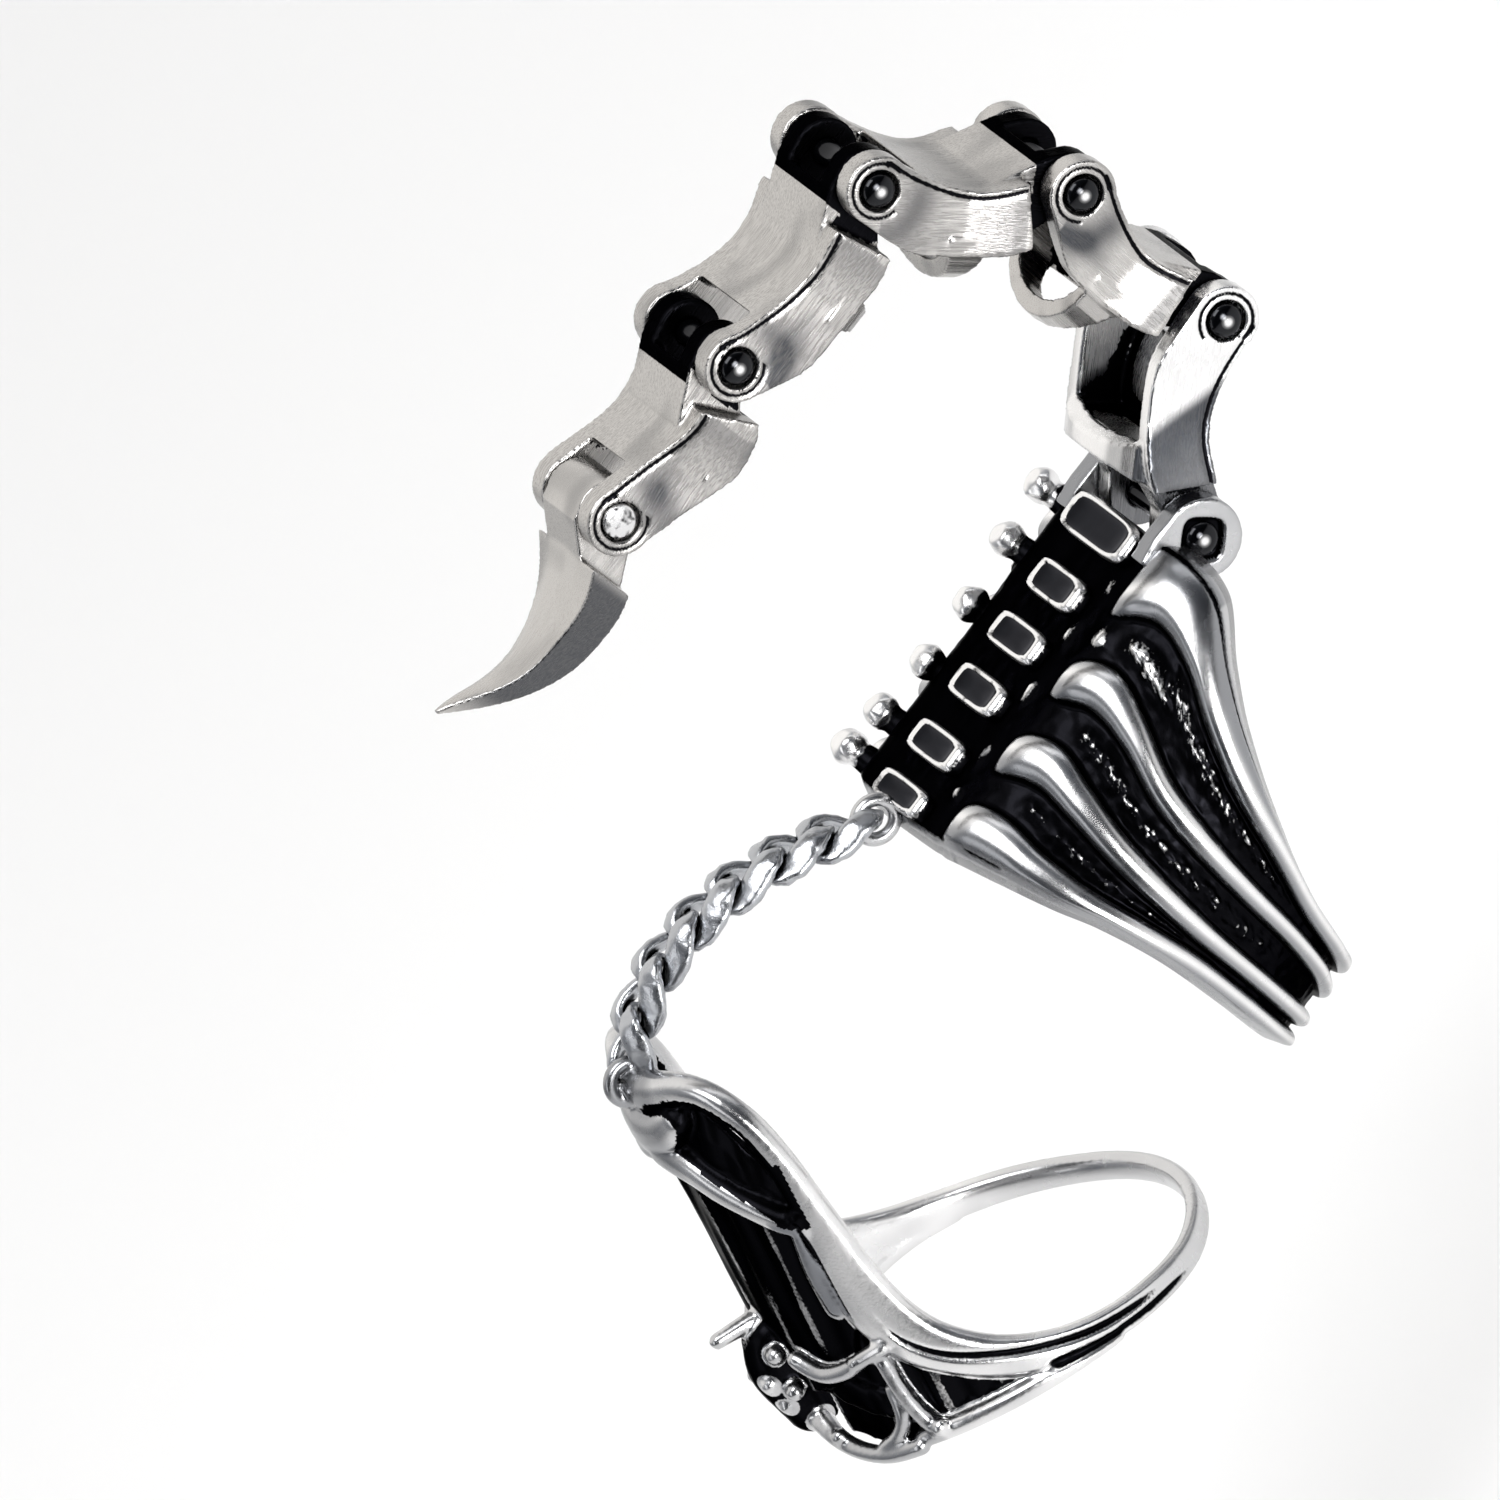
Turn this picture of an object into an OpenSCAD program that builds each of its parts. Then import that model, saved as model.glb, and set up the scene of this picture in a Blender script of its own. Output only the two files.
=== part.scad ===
// Scorpion two-joint finger ring: an open ring with a spine plate and rib-like legs, a riveted
// tail of five links and a sting, a curb chain over the knuckle and a lower ring with claws.
// X runs along the finger towards the hand, Z points away from the back of the finger, and
// the origin is the centre of the upper ring.

/* [Upper ring] */
// Inside diameter of the upper ring
finger_d = 19; // [17:0.5:21]
// Length of the spine plate along the finger
plate_len = 17.5; // [17:0.1:18]
// Height of the spine tablets above the inside of the ring
spine_h = 2; // [1.9:0.05:2.2]
// Angle from the top of the ring to its open ends at the palm
band_end = 165; // [160:1:168]

/* [Tail] */
// Width of the first tail link over the ears at its far end
link_w = 10; // [9.6:0.1:10.4]
// Width over the ears that hold the sting
sting_ear_w = 6.8; // [6.6:0.1:7.4]
// Thickness of one ear
ear_t = 1.3; // [1.1:0.05:1.35]
// Radius of the links' ears
ear_r = 1.65; // [1.6:0.05:1.8]
// Radius of the two ears behind the spine plate
base_ear_r = 1.95; // [1.8:0.05:2]
// Side clearance between a tongue and each ear
side_gap = 0.13; // [0.1:0.01:0.2]
// Radius of the rivets
pin_r = 0.6; // [0.5:0.05:0.65]
// Radial clearance of a rivet in its bores
pin_gap = 0.03; // [0.02:0.005:0.05]
// Length of the sting from its rivet
sting_len = 12; // [11:0.5:13]

/* [Lower ring] */
// Inside diameter of the lower ring
lower_d = 18.6; // [17:0.2:19]
// How far the lower ring's axis is turned from the upper ring's
bend = 68; // [66:1:70]

/* [Chain] */
// Spacing of the chain links
chain_pitch = 2.44; // [2.4:0.02:2.5]
// Width of the chain
chain_w = 3.2; // [3.1:0.05:3.4]

/* [Hidden] */
finger_r = finger_d / 2;
spine_top = finger_r + spine_h;
plate_half = plate_len / 2;
long = plate_len / 17.5;
polished = "silver";
aged = "dimgray";

// The value of one column of a table at x, on a smooth curve through the table's rows.
// The table's first column grows from row to row.
function at(rows, x, col = 1, i = 0) =
    let (last = len(rows) - 1)
    x <= rows[0][0] ? rows[0][col] :
    x >= rows[last][0] ? rows[last][col] :
    x > rows[i + 1][0] ? at(rows, x, col, i + 1) :
    let (a = rows[max(i - 1, 0)], b = rows[i], c = rows[i + 1], d = rows[min(i + 2, last)],
        step = c[0] - b[0], t = (x - b[0]) / step,
        slope_b = (c[col] - a[col]) / (c[0] - a[0]) * step,
        slope_c = (d[col] - b[col]) / (d[0] - b[0]) * step)
    (2 * t^3 - 3 * t^2 + 1) * b[col] + (t^3 - 2 * t^2 + t) * slope_b
        + (3 * t^2 - 2 * t^3) * c[col] + (t^3 - t^2) * slope_c;

// A closed skin over a row of outlines that all have the same number of points.
module skin(outlines, closed = false) {
    rows = len(outlines);
    n = len(outlines[0]);
    spans = closed ? rows : rows - 1;
    sides = [for (r = [0 : spans - 1], k = [0 : n - 1])
        let (a = r * n + k, b = r * n + (k + 1) % n,
            c = ((r + 1) % rows) * n + (k + 1) % n, d = ((r + 1) % rows) * n + k)
        each [[a, c, b], [a, d, c]]];
    ends = closed ? [] : [for (k = [1 : n - 2])
        each [[0, k, k + 1], [(rows - 1) * n, (rows - 1) * n + k + 1, (rows - 1) * n + k]]];
    polyhedron([for (o = outlines) each o], concat(sides, ends));
}

// Upper ring. Angles go from the top of the finger towards the near side, which is -Y.
function around(phi, r, x) = [x, -r * sin(phi), r * cos(phi)];

// Front and rear edge of the band, by angle
band_edges = [
    [0, -8.75, 7.6], [20, -8.7, 7.6], [22.7, -8.65, 7.6], [25, -8.65, 8.5], [43, -8.1, 8], [56, -7.7, 5.6], [68, -7.2, 3.7],
    [86, -6.8, 1.6], [109, -6.75, -0.3], [131, -6.8, -1.1], [165, -6.7, -1.5]];
// Thickness of the band between the ribs, by angle
ground = [[0, 1.2], [10, 1.35], [20, 1.85], [28, 2.35], [36, 2.25], [50, 1.9], [65, 1.55],
    [85, 1.25], [110, 1.15], [165, 1.1]];
// Centres of the four ribs, by angle: front, second, third, rear
rib_places = [
    [25, -7.5, -3.6, 0.6, 5.2], [36, -7, -2.9, 1.35, 6.3], [47, -7.05, -3.4, 0.65, 5.4],
    [60, -6.95, -4.05, -0.7, 3.4], [74, -6.55, -4.45, -1.45, 1.75], [91, -6.2, -4.75, -2, 0.4],
    [110, -6.2, -4.9, -2.4, -0.9], [130, -6.3, -5.05, -2.9, -1.6], [150, -6.3, -5.15, -3.5, -2.1],
    [165, -6.2, -5.1, -3.6, -2.2]];
// Half width and height of a rib, by angle
rib_sizes = [[24, 0.9, 0], [26, 1.1, 0.55], [29, 1.25, 0.85], [35, 1.2, 0.95], [47, 0.95, 0.95],
    [60, 0.8, 0.95], [76, 0.68, 0.85], [100, 0.56, 0.75], [130, 0.5, 0.7], [156, 0.45, 0.6],
    [162, 0.4, 0.4], [165, 0.35, 0]];
// Where the ribs start on the far side, below the row of beads
far_rib_start = 36;
far_rib_full = 42;
// A rib's section: place across it and height, as shares of its half width and height
rib_section = [[-1, 0], [-0.62, 0.76], [0, 1], [0.62, 0.76], [1, 0]];
band_angles = [0, 7, 14, 20, 21.5, 23, 24.5, 26, 29, 35, 41, 47, 53, 60, 68, 76, 86, 97, 109, 120, 131, 142, 150,
    156, 162, 165];

function rib_rise(phi) =
    at(rib_sizes, abs(phi), 2)
        * (phi < 0 ? max(0, min(1, (-phi - far_rib_start) / (far_rib_full - far_rib_start))) : 1);

function band_outline(phi) =
    let (a = abs(phi), g = finger_r + at(ground, a), w = at(rib_sizes, a, 1), h = rib_rise(phi),
        front = at(band_edges, a, 1) * long, rear = at(band_edges, a, 2) * long)
    concat(
        [around(phi, finger_r, front), around(phi, g, front)],
        [for (rib = [1 : 4], s = rib_section)
            around(phi, g + h * s[1], at(rib_places, a, rib) * long + w * s[0])],
        [around(phi, g, rear), around(phi, finger_r, rear)]);

module band() {
    last = len(band_angles) - 1;
    scale_end = band_end / band_angles[last];
    angles = concat(backwards(band_angles), [for (i = [1 : last]) -band_angles[i]]);
    skin([for (a = angles) band_outline(a * scale_end)]);
}

// A block whose rectangular outline changes with height: height, length along X, length along Y.
module stack(x, rows) {
    skin([for (r = rows) [for (c = [[-1, -1], [1, -1], [1, 1], [-1, 1]])
        [x + c[0] * r[1] / 2, c[1] * r[2] / 2, r[0]]]]);
}

// Spine tablets: place along X, length along X, length along Y, height of the underside.
// The last one is a lip over the first joint of the tail.
tablet_foot = finger_r + 0.7;
lip_foot = finger_r + 1.5;
tablets = [[-7.9, 1.5, 5, tablet_foot], [-5.2, 1.7, 5, tablet_foot], [-2.05, 1.75, 5, tablet_foot],
    [0.9, 1.75, 5, tablet_foot], [3.9, 1.8, 5, tablet_foot], [6.95, 1, 6.6, tablet_foot],
    [7.4, 2, 7.4, lip_foot]];
tablet_bevel = 0.35;
tablet_rim = 0.3;

module tablet(t) {
    top = spine_top;
    stack(t[0] * long, [
        [t[3], t[1], t[2]],
        [top - tablet_bevel, t[1], t[2]],
        [top, t[1] - tablet_bevel, t[2] - 2 * tablet_bevel],
        [top, t[1] - tablet_bevel - tablet_rim, t[2] - 2 * tablet_bevel - 2 * tablet_rim],
        [top - 0.12, t[1] - tablet_bevel - 1.5 * tablet_rim, t[2] - 2 * tablet_bevel - 3 * tablet_rim]]);
}

// Beads along the far edge of the spine plate: place along X, place across
bead_places = [[-7.6, 7.25], [-5.45, 6.8], [-2.4, 6.1], [0.9, 6.1], [4.25, 7], [7.15, 7.5]];
bead_z = finger_r + 1.35;
bead_r = 0.85;
bead_foot = finger_r + 1.6;

module bead(b) {
    rise = norm([b[1], bead_z]);
    translate([b[0] * long, 0, 0]) rotate([-atan2(b[1], bead_z), 0, 0]) {
        translate([0, 0, rise]) sphere(r = bead_r, $fn = 16);
        translate([0, 0, bead_foot]) cylinder(h = rise - bead_foot, r = 0.6, $fn = 24);
    }
}

// Tail: rivet centres follow from the first one and from each link's length and direction.
base_pin = [plate_half + 0.81, finger_r - 0.2];
// Links of the tail, the sting last: length between rivets, angle from X up towards Z
tail = [[10.3, 33.5], [9.75, 86], [9.98, 122.9], [10.3, 178.9], [8.8, 182.8], [sting_len, 180]];
// Width over the ears at each rivet but the last, as a share of the first link's
ear_shares = [1.04, 1, 0.98, 0.93, 0.87];
function pin(i) = i == 0 ? base_pin
    : pin(i - 1) + tail[i - 1][0] * [cos(tail[i - 1][1]), sin(tail[i - 1][1])];
function ears_w(i) = i == 5 ? sting_ear_w : link_w * ear_shares[i];
function tongue_w(i) = ears_w(i) - 2 * (ear_t + side_gap);
tongue_t = 1.4;
tongue_r = ear_r - 0.1;
bore_r = pin_r + pin_gap;
head_r = 0.82;
recess_r = 0.98;
recess_depth = 0.4;

// Stands children drawn in a link's own frame: x along the link, z towards the inside of the curl.
module place_link(i) {
    p = pin(i);
    translate([p[0], 0, p[1]]) rotate([0, -tail[i][1], 0]) children();
}

// An outline in the side view, drawn up to a width across the tail.
module across(w) {
    rotate([90, 0, 0]) linear_extrude(w, center = true) children();
}

module bore(w) {
    rotate([90, 0, 0]) cylinder(h = w, r = bore_r, center = true, $fn = 32);
}

// The bore through a pair of ears with the recesses that take the rivet's heads.
module ear_bore(w) {
    bore(w + 2);
    for (s = [-1, 1]) translate([0, s * (w / 2 + 1 - recess_depth), 0]) rotate([90, 0, 0])
        cylinder(h = 2, r = recess_r, center = true, $fn = 48);
}

// Outer and inner edge of a link's cheeks for link i of length l; the last link has its own
function outer_edge(i, l) = i == 4
    ? [[2.58, -0.1], [3.4, 0], [4.5, -0.15], [5.9, -0.64], [7.3, -1.2], [8.5, -1.62]]
    : [[2.62, -0.45], [4.6, 0.05], [l - 3.9, -0.1], [l - 2, -0.75], [l - 0.3, -1.62]];
function inner_edge(i, l) = i == 4
    ? [[1.6, 2.6], [2.3, 3.1], [3.1, 3.3], [4.1, 3.5], [5.4, 3.15], [6.9, 2.45], [8.5, 1.8], [9.4, 1.5]]
    : [[2.1, 2.62], [3.2, 3.02], [5.4, 3.18], [l - 2.2, 3.05], [l - 1, 2.5], [l + 0.1, 1.85],
        [l + 0.7, 1.48]];
edge_steps = 12;
function sampled(rows) = [for (k = [0 : edge_steps])
    let (x = rows[0][0] + (rows[len(rows) - 1][0] - rows[0][0]) * k / edge_steps) [x, at(rows, x)]];
function backwards(list) = [for (k = [len(list) - 1 : -1 : 0]) list[k]];

web_t = 0.85;
window_start = 2.35;
// Strap under each link: start and end along the link, height of its top
bellies = [[2.4, 4.2, 4.3], [4.2, 6.2, 5.5], [4.2, 6, 5.1], [4.4, 6.1, 4.9], [3.5, 5.1, 4.3]];
belly_t = 0.85;
belly_foot = 2.3;
belly_tip = 0.4;
far_off = 4;

module cheek_outline(i, l) {
    polygon(concat(sampled(outer_edge(i, l)), [[l, 0]], backwards(sampled(inner_edge(i, l)))));
    translate([l, 0]) circle(r = ear_r, $fn = 48);
}

// The hollow under the web, open towards the inside of the curl.
module hollow_outline(i, l, from) {
    polygon(concat([for (p = sampled(outer_edge(i, l))) if (p[0] > from) p + [0, web_t]],
        [[l - 0.3, far_off], [from, far_off]]));
}

// The strap that bows from cheek to cheek under the link and narrows to its middle.
module belly(w, b) {
    arc = [for (t = [0 : 15 : 180]) t];
    rise = b[2] - belly_foot;
    middle = (b[0] + b[1]) / 2;
    intersection() {
        translate([b[0], 0, 0]) rotate([90, 0, 90]) linear_extrude(b[1] - b[0])
            polygon(concat(
                [for (t = arc) [w / 2 * cos(t), belly_foot + rise * sin(t)]],
                [for (t = backwards(arc))
                    [(w / 2 - belly_t) * cos(t), belly_foot + (rise - belly_t) * sin(t)]]));
        across(w) polygon([[b[0], 0], [b[1], 0], [b[1], belly_foot + 0.9], [middle + belly_tip, b[2]],
            [middle - belly_tip, b[2]], [b[0], belly_foot + 0.9]]);
    }
}

// Plan outline: the cheeks draw in a little between the shoulder and the ears.
module plan_outline(l, w0, w1) {
    waist = [[0, 0.5], [2.6, 0.5], [5.4, 0.1], [l - 2.6, 0.2], [l - 0.6, 0.5], [l + 3, 0.5]];
    side = [for (p = sampled(waist)) let (t = max(0, min(1, p[0] / l)))
        [p[0], (w0 + (w1 - w0) * t) / 2 - 0.5 + p[1]]];
    polygon(concat(side, [for (p = backwards(side)) [p[0], -p[1]]]));
}

module tongue_outline() {
    circle(r = tongue_r, $fn = 48);
    polygon([[0, -tongue_r], [1.2, -1.35], [3.8, -0.15], [3.8, 3], [2.4, 2.7], [0.9, 1.6], [0, tongue_r]]);
}

module link(i) {
    l = tail[i][0];
    w0 = ears_w(i);
    w1 = ears_w(i + 1);
    slot = tongue_w(i + 1) + 2 * side_gap;
    tongue = tongue_w(i);
    difference() {
        union() {
            difference() {
                intersection() {
                    across(w0) cheek_outline(i, l);
                    translate([0, 0, -far_off]) linear_extrude(2 * far_off) plan_outline(l, w0, w1);
                }
                across(slot) hollow_outline(i, l, 3.7);
                translate([l - window_start, -slot / 2, -far_off]) cube([far_off * 2, slot, far_off * 2]);
            }
            difference() {
                across(tongue) tongue_outline();
                across(tongue - 2 * tongue_t) polygon([[-far_off, -far_off], [1.3, -far_off],
                    [1.3, -0.7], [far_off, 0.85], [far_off, far_off], [-far_off, far_off]]);
            }
            belly((w0 + w1) / 2 - 0.6, bellies[i]);
        }
        bore(tongue + 1);
        translate([l, 0, 0]) ear_bore(w1);
    }
}

// Sting: distance from the rivet, outer face, inner face, half width
blade = [[2.45, 0.35, 2.9, 3.4], [3.6, 1.15, 3.4, 2.95], [4.8, 1.65, 3.65, 2.4],
    [6.2, 1.9, 3.75, 1.85], [7.5, 1.95, 3.45, 1.5], [8.7, 1.7, 2.9, 1.2], [9.9, 1.15, 2.1, 0.85],
    [11.1, 0.4, 1.05, 0.45], [12, -0.05, 0.15, 0.12]];
blade_steps = 16;
blade_crown = 0.25;

module sting_body() {
    w = tongue_w(5);
    stretch = sting_len / 12;
    first = blade[0][0];
    last = blade[len(blade) - 1][0];
    difference() {
        union() {
            across(w) {
                circle(r = tongue_r, $fn = 48);
                polygon([[0, -tongue_r], [1.2, -1.25], [3.2, 0.95], [3.2, 2.9], [2.2, 2.7], [0, tongue_r]]);
            }
            skin([for (k = [0 : blade_steps])
                let (a = first + (last - first) * k / blade_steps, out = at(blade, a, 1),
                    in = at(blade, a, 2), half = at(blade, a, 3),
                    crown = min(blade_crown, half / 3), x = a * stretch)
                [[x, -half, out], [x, -half * 0.5, out - crown * 0.8], [x, 0, out - crown],
                    [x, half * 0.5, out - crown * 0.8], [x, half, out], [x, half * 0.85, in],
                    [x, -half * 0.85, in]]]);
        }
        bore(w + 1);
    }
}

// A rivet lies in the ears of joint i, with a domed head in each recess.
dome_rise = 0.42;
module rivet(i) {
    p = pin(i);
    half = ears_w(i) / 2;
    seat = half - recess_depth + 0.02;
    dome_r = (head_r^2 + dome_rise^2) / (2 * dome_rise);
    translate([p[0], 0, p[1]]) {
        rotate([90, 0, 0]) cylinder(h = 2 * seat + 0.1, r = pin_r, center = true, $fn = 48);
        for (s = [-1, 1]) translate([0, s * seat, 0]) rotate([-90 * s, 0, 0]) {
            cylinder(h = 0.2, r = head_r, $fn = 48);
            intersection() {
                translate([0, 0, 0.2 + dome_rise - dome_r]) sphere(r = dome_r, $fn = 48);
                translate([0, 0, 0.1]) cylinder(h = 2, r = head_r, $fn = 48);
            }
        }
    }
}

// Arms that carry the first pair of ears behind the spine plate.
module base_ears() {
    p = base_pin;
    for (s = [-1, 1]) translate([0, s * (ears_w(0) - ear_t) / 2, 0]) across(ear_t) {
        translate(p) circle(r = base_ear_r, $fn = 48);
        polygon([p + [-2.6, 0.15], p + [-2.6, 1.8], p + [-1.3, 2], p + [0.35, base_ear_r - 0.04],
            p + [0.2, -1], p + [-1.55, -1.15], p + [-1.3, -0.3]]);
    }
}

// Chain: directions of its links from X up towards Z, from the plate to the lower ring.
chain_start = [-plate_half - 1.2, finger_r + 2.2];
chain_turns = [143, 149, 158, 168, 180, 196, 216];
function chain_joint(i) = i == 0 ? chain_start
    : chain_joint(i - 1) + chain_pitch * [cos(chain_turns[i - 1]), sin(chain_turns[i - 1])];
chain_wire = 0.36;
chain_twist = 0.5;
chain_half = chain_pitch / 2 + 0.5;
chain_sides = 6;
chain_steps = 24;
eye_r = 0.95;
eye_wire = 0.33;
eye_back = 0.5;
plate_eye = chain_start - eye_back * [cos(chain_turns[0]), sin(chain_turns[0])];
chain_end = chain_joint(len(chain_turns));
lower_eye = chain_end + eye_back * [cos(chain_turns[6]), sin(chain_turns[6])];

function unit(v) = v / norm(v);
function chain_curve(t) = [chain_half * cos(t), (chain_w / 2 - chain_wire) * sin(t), chain_twist * sin(2 * t)];
function chain_section(t) =
    let (c = chain_curve(t), along = unit(chain_curve(t + 1) - chain_curve(t - 1)),
        side = unit(cross(along, [0, 0, 1])), up = cross(side, along))
    [for (k = [0 : chain_sides - 1]) let (a = -(k + 0.5) * 360 / chain_sides)
        c + chain_wire * (cos(a) * side + sin(a) * up)];

module chain_link() {
    skin([for (k = [0 : chain_steps - 1]) chain_section(k * 360 / chain_steps)], closed = true);
}

// A ring in the plane of the tail that a chain link hooks through.
module eye(p) {
    translate([p[0], 0, p[1]]) rotate([90, 0, 0]) rotate_extrude($fn = 32) translate([eye_r, 0])
        circle(r = eye_wire, $fn = 14);
}

// Lower ring: its own frame has x towards the hand and z away from the finger's back.
lower_r = lower_d / 2;
lower_out = [-cos(bend), -sin(bend)];
lower_up = [-sin(bend), cos(bend)];
lower_centre = lower_eye - (lower_r + 1.2) * lower_up + 0.55 * lower_out;
module place_lower() {
    translate([lower_centre[0], 0, lower_centre[1]]) rotate([0, -bend, 0]) children();
}

// A flat stud on the ring's skin: angle, distance from the front rim, height, half width.
module stud(s, foot) {
    rotate([s[0], 0, 0]) translate([-s[1], 0, lower_r + foot]) {
        cylinder(h = s[2] - 0.25 - foot, r = s[3], $fn = 10);
        cylinder(h = s[2] - foot, r = max(0.2, s[3] - 0.3), $fn = 10);
    }
}

// A bar that lies on the finger, through a row of studs whose feet stand off the skin.
module strap(rows, foot = 0) {
    for (i = [0 : len(rows) - 2]) hull() {
        stud(rows[i], foot);
        stud(rows[i + 1], foot);
    }
}

// A ball off the skin: angle, distance from the front rim, height of its centre, radius.
module ball(s) {
    rotate([s[0], 0, 0]) translate([-s[1], 0, lower_r + s[2]]) sphere(r = s[3], $fn = 8);
}

// A rod in the air, through a row of balls.
module rod(rows) {
    for (i = [0 : len(rows) - 2]) hull() {
        ball(rows[i]);
        ball(rows[i + 1]);
    }
}

rim = [[0, 1.1, 1.5, 1], [14, 1.5, 1.6, 1.1], [25, 2.4, 1.6, 1.1], [33, 4, 1.5, 1], [37, 6.2, 1.4, 0.9],
    [39, 8.6, 1.3, 0.95], [43, 11.2, 1.25, 1.1], [50, 13.9, 1.25, 1.2], [59, 15.7, 1.25, 1.1],
    [70, 17, 1.25, 1], [84, 17.9, 1.2, 0.9], [100, 18.5, 1.1, 0.8], [118, 18.8, 1, 0.75],
    [136, 19, 0.95, 0.7], [152, 19, 0.9, 0.7], [171, 19, 0.9, 0.7]];
distal = [[40, 19, 1.5, 0.5], [50, 18.9, 1.6, 0.6], [60, 18.7, 1.6, 0.7], [72, 18.5, 1.5, 0.8],
    [86, 18.5, 1.4, 0.7], [100, 18.6, 1.15, 0.8]];
shoulder = [[0, 2.4, 2.1, 1.5], [10, 2.9, 2.05, 1.2], [20, 3.1, 1.75, 1]];
limb = [[4, 3.2, 2.15, 1], [12, 4.2, 1.95, 0.9], [21, 5.8, 1.7, 0.8], [29, 7.3, 1.5, 0.7], [36, 8.6, 1.3, 0.8]];
// Curved plates: angle, distances of the two edges from the front rim, height
shield = [[-38, 9.1, 13.6], [-32, 8.2, 15.5], [-24, 6.8, 16], [-16, 5.5, 16.2], [-8, 4.6, 16.3],
    [0, 4.2, 16.3], [8, 4.6, 16.3], [16, 5.5, 16.2], [24, 6.8, 16], [32, 8.2, 15.5], [38, 9.1, 13.6]];
shield_edge = 0.85;
shield_crown = 0.3;
web = [[41, 11.6, 17.4], [47, 13.6, 18.3], [54, 15.4, 18.5], [62, 16.6, 18.5], [72, 17.5, 18.4],
    [84, 18.1, 18.6]];
web_height = 0.8;
arm = [[38, 7.2, 0.9, 0.85], [33, 9.6, 0.95, 0.9], [27, 12, 1, 0.8], [18, 14.2, 1.1, 0.8]];
head = [[0, 14.2, 1, 1.4], [0, 15.6, 1.3, 1.5], [0, 17.1, 1.1, 1.4], [0, 18.3, 0.95, 1.25]];
jaw = [[14, 14.8, 1.6, 0.45], [21, 15.4, 1.5, 0.45], [30, 15.5, 1.4, 0.42], [38, 15.1, 1.2, 0.4], [43.4, 15.05, 0.93, 0.44]];
tooth = [[45.3, 14.65, 1.05, 0.5], [46.2, 16.55, 1.22, 0.43], [46.4, 18.75, 1.13, 0.46]];
lower_jaw = [[6, 17.2, 1.2, 0.6], [18, 18.4, 1.4, 0.48], [29, 19.2, 1.4, 0.45], [40, 19.4, 1.2, 0.45]];
crossbar = [[16, 15.5, 0.95, 0.6], [28, 17, 0.85, 0.6], [44, 17.8, 0.75, 0.5]];
peg = [[0, 13, 0.6, 0.5], [0, 12.9, 3.4, 0.38]];
beads = [[3, 14.4, 2.25, 0.42], [6, 15.7, 2.45, 0.4], [6.5, 17, 2.15, 0.38], [10, 17.7, 1.6, 0.35],
    [18, 18.3, 1.75, 0.35], [47, 19.2, 1.3, 0.42]];

// A plate that lies on the finger.
module plate(rows, foot, edge, crown) {
    skin([for (r = rows)
        let (h = edge + crown * cos(r[0] * 90 / 40))
        [for (c = [[r[2], foot], [r[1], foot], [r[1], h], [r[2], h]])
            [-c[0], -(lower_r + c[1]) * sin(r[0]), (lower_r + c[1]) * cos(r[0])]]]);
}

function other_side(rows) = [for (r = rows) [-r[0], r[1], r[2], r[3]]];
function other_plate(rows) = backwards([for (r = rows) [-r[0], r[1], r[2]]]);
module straps(rows, foot) {
    strap(rows, foot);
    strap(other_side(rows), foot);
}
module rods(rows) {
    rod(rows);
    rod(other_side(rows));
}

module lower_ring() {
    color(polished) {
        place_lower() {
            strap(concat(backwards(other_side(rim)), [for (i = [1 : len(rim) - 1]) rim[i]],
                [other_side(rim)[len(rim) - 1]]));
            straps(distal, 0.06);
            plate(web, 0.13, web_height, 0);
            plate(other_plate(web), 0.13, web_height, 0);
            strap(concat(backwards(other_side(shoulder)), [for (i = [1 : len(shoulder) - 1]) shoulder[i]]), 0.11);
            straps(limb, 0.17);
            straps(crossbar, 0.21);
            rods(arm);
            rods(jaw);
            rods(tooth);
            rods(lower_jaw);
            for (b = concat(beads, other_side(beads))) ball(b);
            plate(shield, 0.04, shield_edge, shield_crown);
            rod(head);
            rod(peg);
        }
        eye(lower_eye);
    }
}

module chain() {
    color(polished) for (i = [0 : len(chain_turns) - 1]) {
        p = (chain_joint(i) + chain_joint(i + 1)) / 2;
        translate([p[0], 0, p[1]]) rotate([0, -chain_turns[i], 0]) chain_link();
    }
}

module upper_ring() {
    color(polished) difference() {
        union() {
            band();
            for (t = tablets) tablet(t);
            for (b = bead_places) bead(b);
            base_ears();
            eye(plate_eye);
        }
        translate([base_pin[0], 0, base_pin[1]]) ear_bore(ears_w(0));
    }
}

module tail_link(i) { color(polished) place_link(i) link(i); }
module sting() { color(polished) place_link(5) sting_body(); }
module tail_rivet(i) { color(aged) rivet(i); }

upper_ring();
tail_link(0);  // tail_link_1
tail_link(1);  // tail_link_2
tail_link(2);  // tail_link_3
tail_link(3);  // tail_link_4
tail_link(4);  // tail_link_5
sting();
tail_rivet(0);  // rivet_0
tail_rivet(1);  // rivet_1
tail_rivet(2);  // rivet_2
tail_rivet(3);  // rivet_3
tail_rivet(4);  // rivet_4
tail_rivet(5);  // rivet_5
chain();
lower_ring();
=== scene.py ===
"""Looks of a scorpion finger ring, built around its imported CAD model.

Tables and sizes are in millimetres, in the CAD frame. The main tables of the band and the tail repeat
those of part.scad. The last tablet, the chain's wire and the lower ring differ from it. Meshes are
worked out in millimetres too, and scaled to metres when their object is made.
"""
import math

import bpy
import numpy as np
from mathutils import Matrix, Vector, noise
from mathutils.bvhtree import BVHTree


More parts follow.
